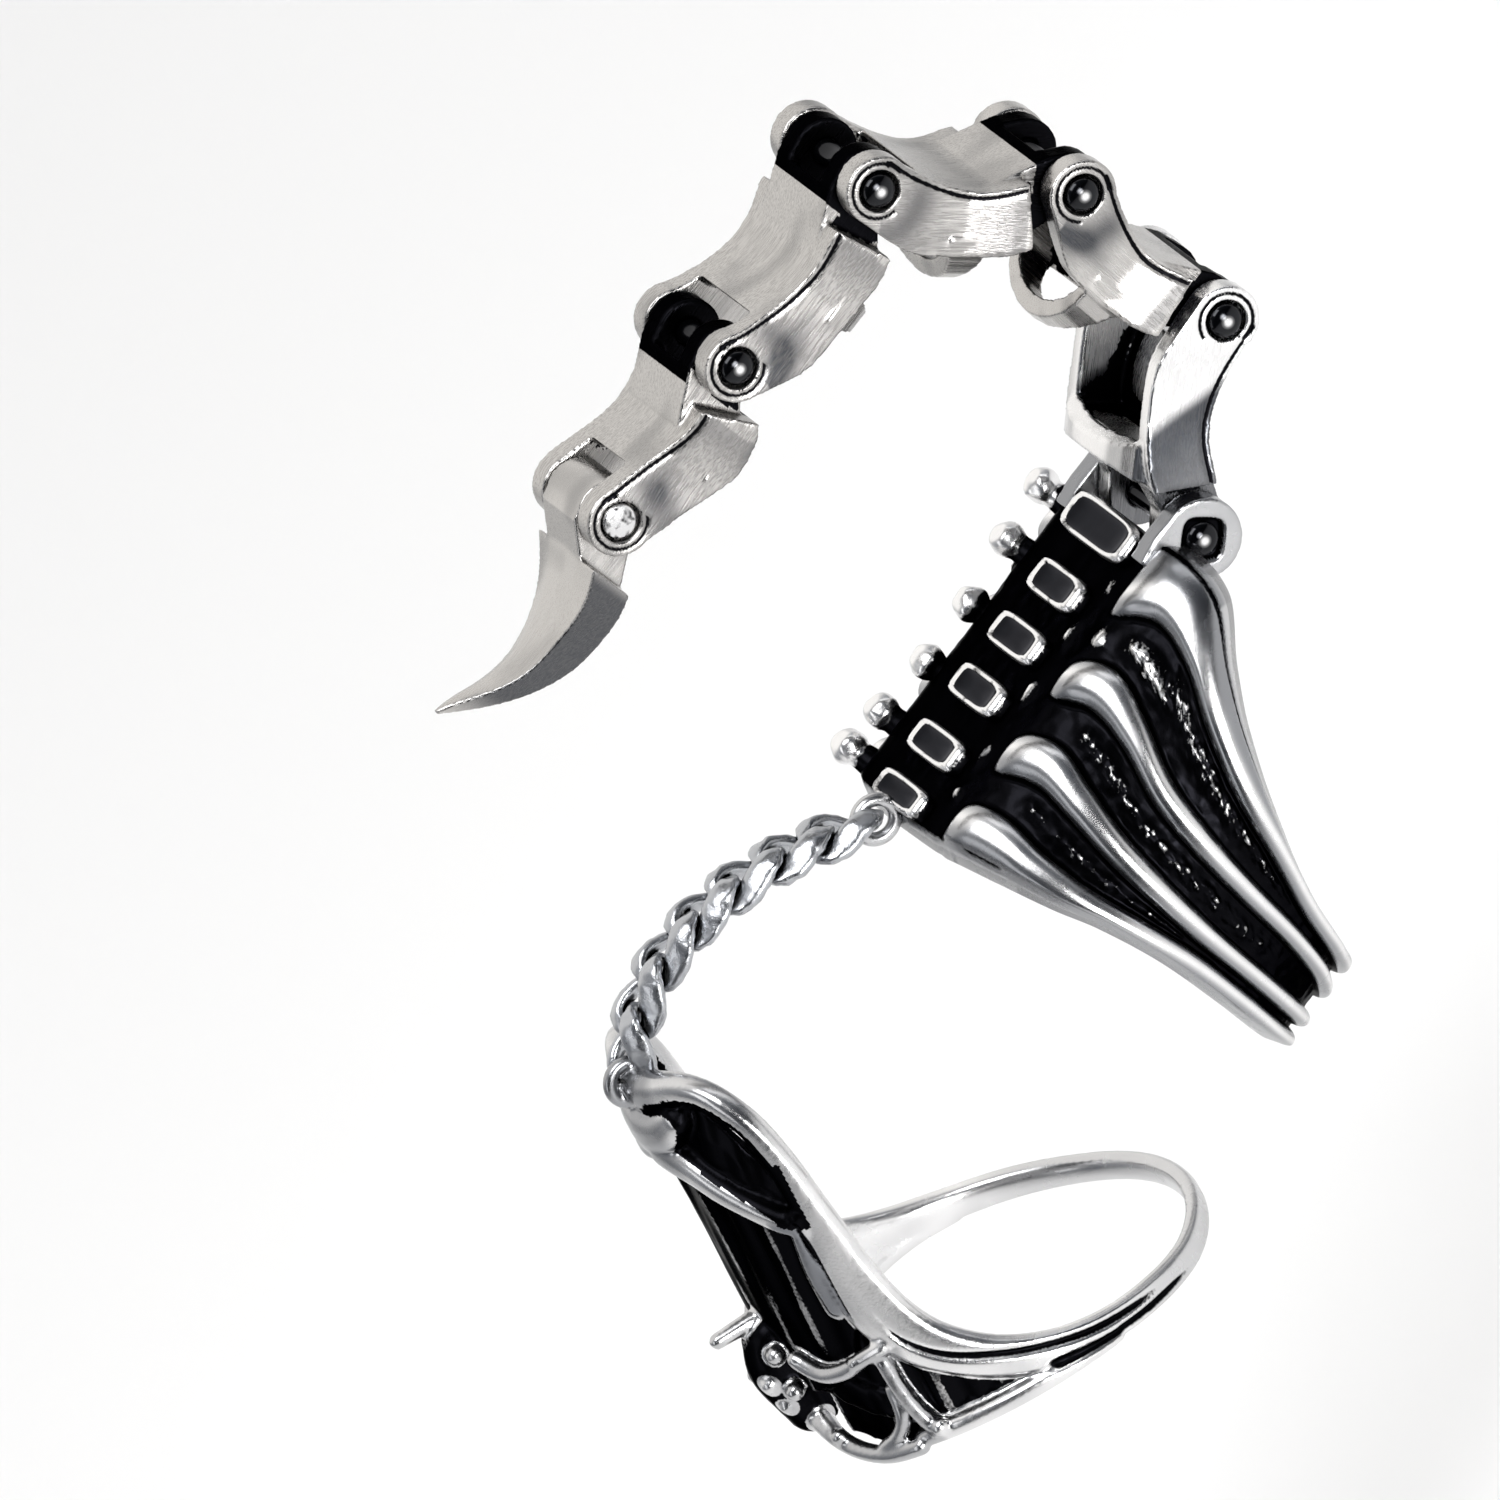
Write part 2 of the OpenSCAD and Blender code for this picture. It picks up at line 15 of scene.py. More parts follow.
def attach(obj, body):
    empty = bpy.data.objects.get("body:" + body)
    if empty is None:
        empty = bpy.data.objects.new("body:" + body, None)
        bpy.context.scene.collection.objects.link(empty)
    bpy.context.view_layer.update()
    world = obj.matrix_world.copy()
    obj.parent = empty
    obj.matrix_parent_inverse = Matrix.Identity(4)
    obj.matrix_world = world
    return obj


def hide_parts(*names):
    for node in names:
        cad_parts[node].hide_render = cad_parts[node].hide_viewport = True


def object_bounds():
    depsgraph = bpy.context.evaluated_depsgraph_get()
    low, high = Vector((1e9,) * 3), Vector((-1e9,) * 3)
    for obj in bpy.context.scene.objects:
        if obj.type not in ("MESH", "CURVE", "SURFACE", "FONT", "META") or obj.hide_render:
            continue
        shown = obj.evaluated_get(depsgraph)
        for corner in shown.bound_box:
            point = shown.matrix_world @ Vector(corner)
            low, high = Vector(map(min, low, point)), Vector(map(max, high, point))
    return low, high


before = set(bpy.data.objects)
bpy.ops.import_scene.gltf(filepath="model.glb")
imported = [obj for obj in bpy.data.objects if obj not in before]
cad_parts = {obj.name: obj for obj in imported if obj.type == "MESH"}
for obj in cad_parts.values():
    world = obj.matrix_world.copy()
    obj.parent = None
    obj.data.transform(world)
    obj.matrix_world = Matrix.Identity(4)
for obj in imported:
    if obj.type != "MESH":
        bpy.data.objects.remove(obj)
cad_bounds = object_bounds()

MM = 0.001

# Camera: level with azimuth 0, from above, rolled so that the finger's axis runs up the picture
CAMERA_ELEVATION = math.radians(28)
CAMERA_ROLL = math.radians(53.13)
CAMERA_AIM = Vector((-10.45, 0, 18.71)) * MM
CAMERA_DISTANCE = 0.4
FRAME_WIDTH = 68.2 * MM


def new_object(name, data):
    obj = bpy.data.objects.new(name, data)
    bpy.context.scene.collection.objects.link(obj)
    return obj


def add_camera():
    data = bpy.data.cameras.new("camera")
    data.type = "ORTHO"
    data.ortho_scale = FRAME_WIDTH
    data.clip_start = 0.01
    camera = new_object("camera", data)
    across = Vector((1, 0, 0))
    rise = Vector((0, math.sin(CAMERA_ELEVATION), math.cos(CAMERA_ELEVATION)))
    back = across.cross(rise)
    right = math.cos(CAMERA_ROLL) * across - math.sin(CAMERA_ROLL) * rise
    up = math.sin(CAMERA_ROLL) * across + math.cos(CAMERA_ROLL) * rise
    place = CAMERA_AIM + CAMERA_DISTANCE * back
    camera.matrix_world = Matrix((
        (right.x, up.x, back.x, place.x), (right.y, up.y, back.y, place.y),
        (right.z, up.z, back.z, place.z), (0, 0, 0, 1)))
    bpy.context.scene.camera = camera


add_camera()


# Numbers and curves

def along(rows, x, col=1):
    """One column of a table at x, on a smooth curve through its rows; the first column grows."""
    rows = np.asarray(rows, float)
    x = np.asarray(x, float)
    xs, ys = rows[:, 0], rows[:, col]
    b = np.clip(np.searchsorted(xs, x, side="right") - 1, 0, len(xs) - 2)
    a, c, d = np.maximum(b - 1, 0), b + 1, np.minimum(b + 2, len(xs) - 1)
    step = xs[c] - xs[b]
    t = np.clip((x - xs[b]) / step, 0, 1)
    slope_b = (ys[c] - ys[a]) / (xs[c] - xs[a]) * step
    slope_c = (ys[d] - ys[b]) / (xs[d] - xs[b]) * step
    return ((2 * t**3 - 3 * t**2 + 1) * ys[b] + (t**3 - 2 * t**2 + t) * slope_b
            + (3 * t**2 - 2 * t**3) * ys[c] + (t**3 - t**2) * slope_c)


def soft_step(low, high, x):
    t = np.clip((np.asarray(x, float) - low) / (high - low), 0, 1)
    return t * t * (3 - 2 * t)


def bell(x, width):
    return np.exp(-(np.asarray(x, float) / width) ** 2)


def heading(degrees):
    return np.array([math.cos(math.radians(degrees)), math.sin(math.radians(degrees))])


def full_turn(steps):
    return np.linspace(0, 2 * math.pi, steps, endpoint=False)


def squarish(x, power):
    """A sine or cosine, changed so that its circle becomes a rounded square."""
    return np.sign(x) * np.abs(x) ** power


def speckle(points, scale, shift=0.0):
    """Smooth noise from about -1 to 1 at each point."""
    return np.array([noise.noise(Vector(p) * scale + Vector((shift, shift, shift)))
                     for p in points])


def pebbles(points, size):
    """1 in the middle of a pebble, 0 in the cracks between."""
    near = np.array([noise.voronoi(Vector(p) / size)[0][:2] for p in points])
    return np.clip((near[:, 1] - near[:, 0]) * 1.6, 0, 1)


# Meshes

def grid_faces(rows, columns, closed_rows=False):
    """Quads over rows of points, where each row is a closed loop."""
    faces = []
    for r in range(rows if closed_rows else rows - 1):
        here, ahead = r * columns, (r + 1) % rows * columns
        for c in range(columns):
            right = (c + 1) % columns
            faces.append((here + c, ahead + c, ahead + right, here + right))
    return faces


def capped(rows, columns):
    faces = grid_faces(rows, columns)
    return faces + [tuple(range(columns)), tuple(reversed(range((rows - 1) * columns, rows * columns)))]


def make_mesh(name, points, faces):
    mesh = bpy.data.meshes.new(name)
    mesh.from_pydata([tuple(p) for p in points], [], faces)
    mesh.update()
    return mesh


def joined(name, parts):
    """One mesh from several (points, faces)."""
    points, faces, first = [], [], 0
    for p, f in parts:
        points.append(np.asarray(p, float))
        faces += [tuple(first + k for k in face) for face in f]
        first += len(p)
    return make_mesh(name, np.concatenate(points), faces)


def voxelled(mesh, voxel):
    """The union of a mesh's closed parts as one even skin of small quads."""
    obj = new_object("voxels", mesh)
    mod = obj.modifiers.new("voxels", "REMESH")
    mod.mode = "VOXEL"
    mod.voxel_size = voxel
    mod.adaptivity = 0
    out = bpy.data.meshes.new_from_object(obj.evaluated_get(bpy.context.evaluated_depsgraph_get()))
    bpy.data.objects.remove(obj)
    return out


def read(items, name, width, kind=np.float32):
    values = np.empty(len(items) * width, kind)
    items.foreach_get(name, values)
    return values.reshape(-1, width)


def points_of(mesh):
    return read(mesh.vertices, "co", 3).astype(float)


def normals_of(mesh):
    return read(mesh.vertex_normals, "vector", 3).astype(float)


def set_points(mesh, co):
    mesh.vertices.foreach_set("co", co.astype(np.float32).ravel())
    mesh.update()


def edges_of(mesh):
    return read(mesh.edges, "vertices", 2, np.int32)


def averaged(values, edges, count):
    """Each vertex's mean over its neighbours."""
    shape = values.shape
    flat = values.reshape(len(values), -1)
    out = np.empty_like(flat)
    for k in range(flat.shape[1]):
        out[:, k] = (np.bincount(edges[:, 0], flat[edges[:, 1], k], len(flat))
                     + np.bincount(edges[:, 1], flat[edges[:, 0], k], len(flat)))
    return (out / count[:, None]).reshape(shape)


def neighbour_count(edges, total):
    return np.maximum(np.bincount(edges.ravel(), minlength=total), 1).astype(float)


def smoothed(values, edges, times, share=0.5):
    count = neighbour_count(edges, len(values))
    for _ in range(times):
        values = values + share * (averaged(values, edges, count) - values)
    return values


# Steps of a relaxing round: inward, then outward again
RELAX_STEPS = (0.52, -0.54)


def relax(mesh, times):
    """Evens out a skin without shrinking it."""
    edges, co = edges_of(mesh), points_of(mesh)
    count = neighbour_count(edges, len(co))
    for _ in range(times):
        for share in RELAX_STEPS:
            co = co + share * (averaged(co, edges, count) - co)
    set_points(mesh, co)


def search_tree(mesh):
    return BVHTree.FromPolygons([tuple(p) for p in points_of(mesh)],
                                [tuple(f.vertices) for f in mesh.polygons])


RAYS = 14
RAY_REACH = 2.4
# Height of a ray's start over the skin, and how much less a hit at full reach counts
RAY_START = 0.03
FAR_LOSS = 0.6


def openness(mesh, reach=RAY_REACH):
    """How much of the sky each vertex sees, 0 in a deep recess to 1 on a free face."""
    co, no = points_of(mesh), normals_of(mesh)
    tree = search_tree(mesh)
    golden = math.pi * (3 - math.sqrt(5))
    rays = []
    for k in range(RAYS):
        height = math.sqrt(1 - (k + 0.5) / RAYS)
        spread = math.sqrt(1 - height * height)
        rays.append((spread * math.cos(k * golden), spread * math.sin(k * golden), height))
    seen = np.ones(len(co))
    for i, (p, n) in enumerate(zip(co, no)):
        up = Vector(n)
        side = up.orthogonal().normalized()
        third = up.cross(side)
        start = Vector(p) + RAY_START * up
        blocked = 0.0
        for x, y, z in rays:
            hit = tree.ray_cast(start, x * side + y * third + z * up, reach)[3]
            if hit is not None:
                blocked += 1 - FAR_LOSS * hit / reach
        seen[i] = 1 - blocked / RAYS
    return smoothed(seen, edges_of(mesh), 1)


def ridges(mesh, spread=2):
    """Above 0 on outward corners and below 0 in inward ones."""
    edges, co, no = edges_of(mesh), points_of(mesh), normals_of(mesh)
    count = neighbour_count(edges, len(co))
    lift = ((co - averaged(co, edges, count)) * no).sum(1)
    size = np.linalg.norm(co[edges[:, 0]] - co[edges[:, 1]], axis=1).mean()
    return smoothed(lift / size, edges, spread)


def paint(mesh, name, values):
    values = np.clip(np.broadcast_to(values, len(mesh.vertices)), 0, 1)
    mesh.attributes.new(name, "FLOAT", "POINT").data.foreach_set("value", values.astype(np.float32))


def paint_both(mesh, wear, shade_and_grey):
    paint(mesh, "wear", wear)
    paint(mesh, "shade_and_grey", shade_and_grey)


def place_attribute(mesh, local):
    layer = mesh.attributes.new("local", "FLOAT_VECTOR", "POINT")
    layer.data.foreach_set("vector", local.astype(np.float32).ravel())


def finish_piece(name, mesh, body, material, more=()):
    """Makes the object from a mesh in millimetres, inside the CAD's box, and puts it on its body."""
    low, high = np.array(cad_bounds) / MM
    set_points(mesh, np.clip(points_of(mesh), low, high))
    mesh.transform(Matrix.Scale(MM, 4))
    for polygon in mesh.polygons:
        polygon.use_smooth = True
    mesh.name = name
    mesh.materials.clear()
    for m in (material, *more):
        mesh.materials.append(m)
    obj = new_object(name, mesh)
    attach(obj, body)
    return obj


def cad_copy(node):
    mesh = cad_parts[node].data.copy()
    mesh.transform(Matrix.Scale(1 / MM, 4))
    return mesh


# Materials

class Graph:
    """A material's nodes, joined by short calls."""

    def __init__(self, name):
        self.material = bpy.data.materials.new(name)
        self.material.use_nodes = True
        self.tree = self.material.node_tree
        self.shader = self.tree.nodes["Principled BSDF"]

    def node(self, kind, **inputs):
        return self.fill(self.tree.nodes.new(kind), **inputs)

    def fill(self, n, **inputs):
        """Sets or links a node's inputs. An underscore stands for a space in an input's name."""
        for key, value in inputs.items():
            self.put(n.inputs[key.replace("_", " ")], value)
        return n

    def put(self, socket, value):
        if isinstance(value, bpy.types.NodeSocket):
            self.tree.links.new(value, socket)
        else:
            socket.default_value = value

    def math(self, operation, a, b):
        n = self.node("ShaderNodeMath")
        n.operation = operation
        self.put(n.inputs[0], a)
        self.put(n.inputs[1], b)
        return n.outputs[0]

    def mix(self, share, a, b):
        n = self.node("ShaderNodeMix")
        n.data_type = "RGBA"
        return self.fill(n, Factor=share, A=a, B=b).outputs["Result"]

    def between(self, value, low, high, to_low=0.0, to_high=1.0):
        n = self.node("ShaderNodeMapRange", Value=value, From_Min=low, From_Max=high, To_Min=to_low,
                      To_Max=to_high)
        return n.outputs[0]

    def noise(self, coordinates, scale, detail=3.0):
        n = self.node("ShaderNodeTexNoise", Vector=coordinates, Scale=scale, Detail=detail)
        return n.outputs["Fac"]

    def attribute(self, name, output="Fac"):
        n = self.node("ShaderNodeAttribute")
        n.attribute_name = name
        return n.outputs[output]


# Grains of the noise in the metals, in cells to the metre
FINE_GRAIN = 7000
BROAD_GRAIN = 700
BLACK_GRAIN = 900
# The wear where oxide ends and where full polish starts
WEAR_EDGE = (0.34, 0.62)
# The grey of full painted shade, and a deeper one, as a share of the metal's own colour
PAINTED_SHADE_GREY = (0.13, 0.14, 0.16)
DEEP_PAINTED_SHADE_GREY = (0.05, 0.055, 0.065)
# Brush lines: how fast they change along, across and through a link
BRUSH_STRETCH = (0.22, 5.5, 5.5)
BRUSH_SCALE = 2.6
BUMP_DISTANCE = 0.00003


def aged_metal(name, bright, oxide, shine, oxide_shine, brushed=0.0, pits=0.25, grey_and_shade=PAINTED_SHADE_GREY):
    """Silver with oxide in its recesses. The mesh says where: wear 0 is oxide and 1 is polished,
    and its grey value 1 is a soft grey, painted shade and painted reflection in most places and a plain
    grey tone in a few."""
    g = Graph(name)
    place = g.node("ShaderNodeTexCoord").outputs["Object"]
    fine = g.noise(place, FINE_GRAIN, 3)
    broad = g.noise(place, BROAD_GRAIN, 4)
    wear = g.math("ADD", g.attribute("wear"), g.math("MULTIPLY", g.math("SUBTRACT", fine, 0.5), 0.45))
    wear = g.math("ADD", wear, g.math("MULTIPLY", g.math("SUBTRACT", broad, 0.5), 0.25))
    mask = g.between(wear, *WEAR_EDGE)
    tone = g.mix(broad, tuple(c * 0.9 for c in bright) + (1,),
                 tuple(min(1, c * 1.06) for c in bright) + (1,))
    # Painted shade: the metal greys towards the painted shade grey where the mesh asks
    shade_and_grey = g.attribute("shade_and_grey")
    tone = g.mix(shade_and_grey, tone, tuple(c * s for c, s in zip(bright, grey_and_shade)) + (1,))
    rough = g.between(mask, 0, 1, oxide_shine, shine)
    rough = g.math("ADD", rough, g.between(broad, 0.3, 0.7, -0.03, 0.05))
    bump_height = g.math("MULTIPLY", fine, 0.5)
    if brushed:
        local = g.node("ShaderNodeMapping", Vector=g.attribute("local", "Vector"), Scale=BRUSH_STRETCH)
        lines = g.noise(local.outputs[0], BRUSH_SCALE, 5)
        rough = g.math("ADD", rough, g.between(lines, 0.35, 0.65, -0.06, 0.1))
        tone = g.mix(g.between(lines, 0.4, 0.6, brushed * 0.5, 0), tone,
                     tuple(c * 0.4 for c in bright) + (1,))
        bump_height = g.math("ADD", g.math("MULTIPLY", lines, 2 * brushed), bump_height)
    bump = g.node("ShaderNodeBump", Height=bump_height, Strength=pits, Distance=BUMP_DISTANCE)
    g.fill(g.shader, Base_Color=g.mix(mask, oxide + (1,), tone),
           Specular_Tint=g.mix(mask, (EDGE_SHINE,) * 3 + (1,), (1, 1, 1, 1)),
           Roughness=rough, Normal=bump.outputs[0], Metallic=1.0)
    return g.material


SILVER = (0.82, 0.815, 0.815)
WARM_SILVER = (0.5, 0.485, 0.47)
CHAIN_TONE = (0.43, 0.44, 0.46)
OXIDE = (0.004, 0.004, 0.005)
BLACK_TONES = ((0.002, 0.002, 0.003, 1), (0.009, 0.01, 0.013, 1))
# How much the oxide still shines at a low angle
EDGE_SHINE = 0.35

polished = aged_metal("polished_silver", SILVER, OXIDE, 0.25, 0.32)
brushed = aged_metal("brushed_silver", WARM_SILVER, OXIDE, 0.26, 0.3, brushed=1.0)
smooth = aged_metal("smooth_silver", WARM_SILVER, OXIDE, 0.24, 0.3, brushed=0.35, pits=0.14)
# A brighter silver with a deeper painted shade, for the first link's painted bright top and shaded lower
# half
bright_smooth = aged_metal("bright_smooth_silver", SILVER, OXIDE, 0.24, 0.3, brushed=0.25, pits=0.14,
                           grey_and_shade=DEEP_PAINTED_SHADE_GREY)
chain_silver = aged_metal("chain_silver", CHAIN_TONE, OXIDE, 0.26, 0.3, pits=0.8)


def gloss_black(name, coat):
    """Blackened metal polished to a mirror. With a coat, the mesh's wear shows the silver under it, which
    on the domes is a worn crown placed as a painted highlight.
    """
    g = Graph(name)
    place = g.node("ShaderNodeTexCoord").outputs["Object"]
    cloud = g.noise(place, BLACK_GRAIN, 4)
    tone = g.mix(cloud, *BLACK_TONES)
    if coat:
        tone = g.mix(g.attribute("wear"), tone, SILVER + (1,))
    g.fill(g.shader, Base_Color=tone, Roughness=g.between(cloud, 0.3, 0.7, 0.08, 0.2), Metallic=0.9,
           Specular_Tint=(0.6, 0.6, 0.62, 1), Coat_Weight=coat, Coat_Roughness=0.06)
    return g.material


black = gloss_black("blackened_metal", 0.0)
black_dome = gloss_black("blackened_dome", 0.35)


# Upper ring

FINGER_R = 9.5
SPINE_TOP = 11.5
BAND_END = 165
BAND_EDGES = [
    [0, -8.75, 7.6], [20, -8.7, 7.6], [22.7, -8.65, 7.6], [25, -8.65, 8.5], [43, -8.1, 8],
    [56, -7.7, 5.6], [68, -7.2, 3.7], [86, -6.8, 1.6], [109, -6.75, -0.3], [131, -6.8, -1.1],
    [165, -6.7, -1.5]]
GROUND = [[0, 1.2], [10, 1.35], [20, 1.85], [28, 2.35], [36, 2.25], [50, 1.9], [65, 1.55],
    [85, 1.25], [110, 1.15], [165, 1.1]]
RIB_PLACES = [
    [25, -7.5, -3.6, 0.6, 5.2], [36, -7, -2.9, 1.35, 6.3], [47, -7.05, -3.4, 0.65, 5.4],
    [60, -6.95, -4.05, -0.7, 3.4], [74, -6.55, -4.45, -1.45, 1.75], [91, -6.2, -4.75, -2, 0.4],
    [110, -6.2, -4.9, -2.4, -0.9], [130, -6.3, -5.05, -2.9, -1.6], [150, -6.3, -5.15, -3.5, -2.1],
    [165, -6.2, -5.1, -3.6, -2.2]]
RIB_SIZES = [[24, 0.9, 0], [26, 1.1, 0.55], [29, 1.25, 0.85], [35, 1.2, 0.95], [47, 0.95, 0.95],
    [60, 0.8, 0.95], [76, 0.68, 0.85], [100, 0.56, 0.75], [130, 0.5, 0.7], [156, 0.45, 0.6],
    [162, 0.4, 0.4], [165, 0.35, 0]]
# The painted highlight streak on each rib, in half widths from its middle, and the painted shade that greys
# the rib beside it
HIGHLIGHT_STREAK_SIDE = 0.2
HIGHLIGHT_STREAK_W = 0.38
RIB_SHADE = 0.78
FAR_RIB_START = 36
FAR_RIB_FULL = 42
EDGE_ROUND = 0.35
# Grey pebbly ridges in the valleys between the ribs: valley, angles from and to, height, place, shine
VALLEY_RIDGES = [[0, 34, 104, 0.26, 0.5, 0.5], [1, 34, 122, 0.32, 0.5, 0.55], [2, 31, 52, 0.6, 0.45, 0.95],
    [2, 44, 110, 0.38, 0.68, 0.6]]
# Bright lumps beside the tablets: place along X, angle, half length along X, half width, height
LUMPS = [[2.5, 15.8, 0.75, 0.3, 0.3], [-0.76, 17, 0.75, 0.3, 0.3], [-4.15, 17.3, 0.75, 0.3, 0.3],
    [3.2, 26.5, 0.55, 0.6, 0.4], [-6.4, 18.5, 0.4, 0.35, 0.25], [5.3, 17.5, 0.5, 0.35, 0.25]]
BAND_ROWS = 452
BAND_COLUMNS = 150
# Size of the pebbles on the ridges, and of those on the lumps
RIDGE_PEBBLE = 0.36
LUMP_PEBBLE = 0.4
# Wear and grey of the three inner points of each row
INSIDE_WEAR = 0.95
INSIDE_GREY = 0.1


def band_mesh():
    """The band as a height field over its own cylinder, with a plain inside."""
    phis = np.linspace(-BAND_END, BAND_END, BAND_ROWS)
    columns = BAND_COLUMNS
    share = np.linspace(0, 1, columns)
    rows, wear, shade_and_grey = [], [], []
    for phi in phis:
        a = abs(phi)
        cos, sin = heading(phi)
        front, rear = float(along(BAND_EDGES, a, 1)), float(along(BAND_EDGES, a, 2))
        x = front + (rear - front) * share
        base = float(along(GROUND, a))
        rise = float(along(RIB_SIZES, a, 2))
        if phi > 0:
            rise *= float(np.clip((a - FAR_RIB_START) / (FAR_RIB_FULL - FAR_RIB_START), 0, 1))
        half = float(along(RIB_SIZES, a, 1))
        # phi grows towards the far side here, so the near side has negative angles
        places = [float(along(RIB_PLACES, a, k)) for k in range(1, 5)]
        ribs, grey_and_shade = np.zeros(columns), np.ones(columns)
        for k, p in enumerate(places):
            right = half if k < 3 else max(half, rear - p - 0.1)
            left = half if k > 0 else max(half, p - front - 0.1)
            s = np.clip((x - p) / np.where(x > p, right, left), -1, 1)
            ribs = np.maximum(ribs, (1 - np.abs(s) ** 2.3) ** 0.6)
            # Painted shade on the rib's sides, leaving its painted highlight streak
            grey_and_shade = np.minimum(grey_and_shade, 1 - bell((x - p) / half - HIGHLIGHT_STREAK_SIDE, HIGHLIGHT_STREAK_W))
        height = np.zeros(columns)
        bright = np.zeros(columns)
        r = FINGER_R + base
        points = np.stack([x, np.full(columns, r * sin), np.full(columns, r * cos)], 1)
        lumps = speckle(points, 1.3) * 0.07 + speckle(points, 3.1, 7) * 0.035
        for valley, start, end, size, share_at, shine in VALLEY_RIDGES:
            if not start < a < end:
                continue
            low, high = places[valley] + half, places[valley + 1] - half
            gap = high - low
            if gap < 0.35:
                continue
            fade_out = 0.35 * (end - start)
            fade = float(soft_step(start, start + 5, a) * (1 - soft_step(end - fade_out, end, a)))
            line = bell(x - low - gap * share_at, 0.22 * gap)
            grain = pebbles(points, RIDGE_PEBBLE)
            height += size * fade * line * (0.45 + 0.75 * grain)
            bright = np.maximum(bright, shine * fade * line * (0.35 + 0.75 * grain))
        for at, angle, half_x, half_y, size in LUMPS if phi < 0 else []:
            off = (FINGER_R + base) * math.radians(a - angle)
            lump = bell(x - at, half_x) * float(bell(off, half_y))
            height += size * lump * (0.6 + 0.5 * pebbles(points, LUMP_PEBBLE))
            bright = np.maximum(bright, lump * (0.55 + 0.9 * lumps / 0.1))
        height = height * (1 - ribs) + lumps * (1 - np.clip(ribs * 3, 0, 1))
        top = rise * ribs + height
        near_edge = np.minimum(x - front, rear - x)
        corner = np.sqrt(np.clip(1 - (1 - np.clip(near_edge / EDGE_ROUND, 0, 1)) ** 2, 0, 1))
        total = base * (0.55 + 0.45 * corner) + top * (0.3 + 0.7 * corner)
        end_fade = soft_step(0, 2.2, BAND_END - a) ** 0.5
        total = 0.5 + (total - 0.5) * max(end_fade, 0.15)
        radius = FINGER_R + total
        outer = np.stack([x, radius * sin, radius * cos], 1)
        inside = np.array([[rear - 0.12, FINGER_R * sin, FINGER_R * cos],
                           [(front + rear) / 2, FINGER_R * sin, FINGER_R * cos],
                           [front + 0.12, FINGER_R * sin, FINGER_R * cos]])
        rows.append(np.concatenate([outer, inside]))
        strength = rise / 0.95
        polish = np.clip(soft_step(0.3, 0.62, ribs) * min(1, strength * 1.3) + bright, 0, 1)
        rim = bell(near_edge - 0.05, 0.16)
        polish = np.maximum(polish, 0.9 * rim)
        wear.append(np.concatenate([polish, [INSIDE_WEAR] * 3]))
        # Painted shade on the ribs, and a grey along the band's edges
        grey_and_shade = np.maximum(RIB_SHADE * grey_and_shade * (ribs > 0.05), 0.45 * rim)
        shade_and_grey.append(np.concatenate([grey_and_shade, [INSIDE_GREY] * 3]))
    points = np.concatenate(rows)
    mesh = make_mesh("band", points, capped(len(phis), columns + 3))
    return mesh, np.concatenate(wear), np.concatenate(shade_and_grey)


def build_band():
    mesh, polish, shade_and_grey = band_mesh()
    relax(mesh, 4)
    seen = openness(mesh)
    wear = polish * soft_step(0.12, 0.42, seen)
    inner = np.linalg.norm(points_of(mesh)[:, 1:], axis=1) < FINGER_R + 0.02
    wear[inner] = INSIDE_WEAR
    paint_both(mesh, wear, shade_and_grey)
    return finish_piece("upper_band", mesh, "rings", polished)


TABLETS = [[-7.9, 1.5, 5, 0.7], [-5.2, 1.7, 5, 0.7], [-2.05, 1.75, 5, 0.7], [0.9, 1.75, 5, 0.7],
    [3.9, 1.8, 5, 0.7], [7.2, 2.1, 7.2, 0.7]]
# A tablet from its foot up: height below the top, inset along X, inset along Y, wear
TABLET_STEPS = [[9, -0.04, -0.06, 0.05], [0.75, 0, 0, 0.1], [0.42, 0, 0, 0.35], [0.2, 0.03, 0.06, 0.9],
    [0.05, 0.09, 0.18, 1], [0, 0.16, 0.34, 1], [0.02, 0.22, 0.46, 1], [0.09, 0.27, 0.56, 0.7],
    [0.14, 0.31, 0.64, 0.2], [0.17, 0.36, 0.75, 0.1], [0.24, 0.5, 1.2, 0.1], [0.27, 0.75, 2, 0.1]]
# The step where the black dish starts, and how square the tablet's outline is: 0 square, 1 round
DISH_STEP = 7
TABLET_CORNER = 0.42


def build_tablets():
    parts, wear, sides = [], [], 56
    turn = full_turn(sides)
    for x, length, width, foot in TABLETS:
        ring_x, ring_y = squarish(np.cos(turn), TABLET_CORNER), squarish(np.sin(turn), TABLET_CORNER)
        points = []
        for drop, inset_x, inset_y, shine in TABLET_STEPS:
            z = max(FINGER_R + foot, SPINE_TOP - drop)
            half_x, half_y = max(0.05, length / 2 - inset_x), max(0.2, width / 2 - inset_y)
            row = np.stack([x + half_x * ring_x, half_y * ring_y, np.full(sides, z)], 1)
            chips = speckle(row, 2.6, x) * 0.05 * (1 if shine > 0.5 else 0)
            row[:, 2] += np.minimum(chips, 0.0) - (0.06 * (np.abs(ring_y) > 0.93) if 0.5 < shine else 0)
            points.append(row)
            worn = 0.55 * soft_step(0, 0.5, speckle(row, 1.6, 2 * x)) if 0.5 < shine else 0
            wear.append(np.full(sides, shine) * (1 - worn))
        parts.append((np.concatenate(points), capped(len(TABLET_STEPS), sides)))
    mesh = joined("tablets", parts)
    paint_both(mesh, np.concatenate(wear), 0)
    finish_piece("spine_tablets", mesh, "rings", polished, [black])
    for polygon in mesh.polygons:
        row = min(v % (sides * len(TABLET_STEPS)) for v in polygon.vertices) // sides
        if row >= DISH_STEP:
            polygon.material_index = 1


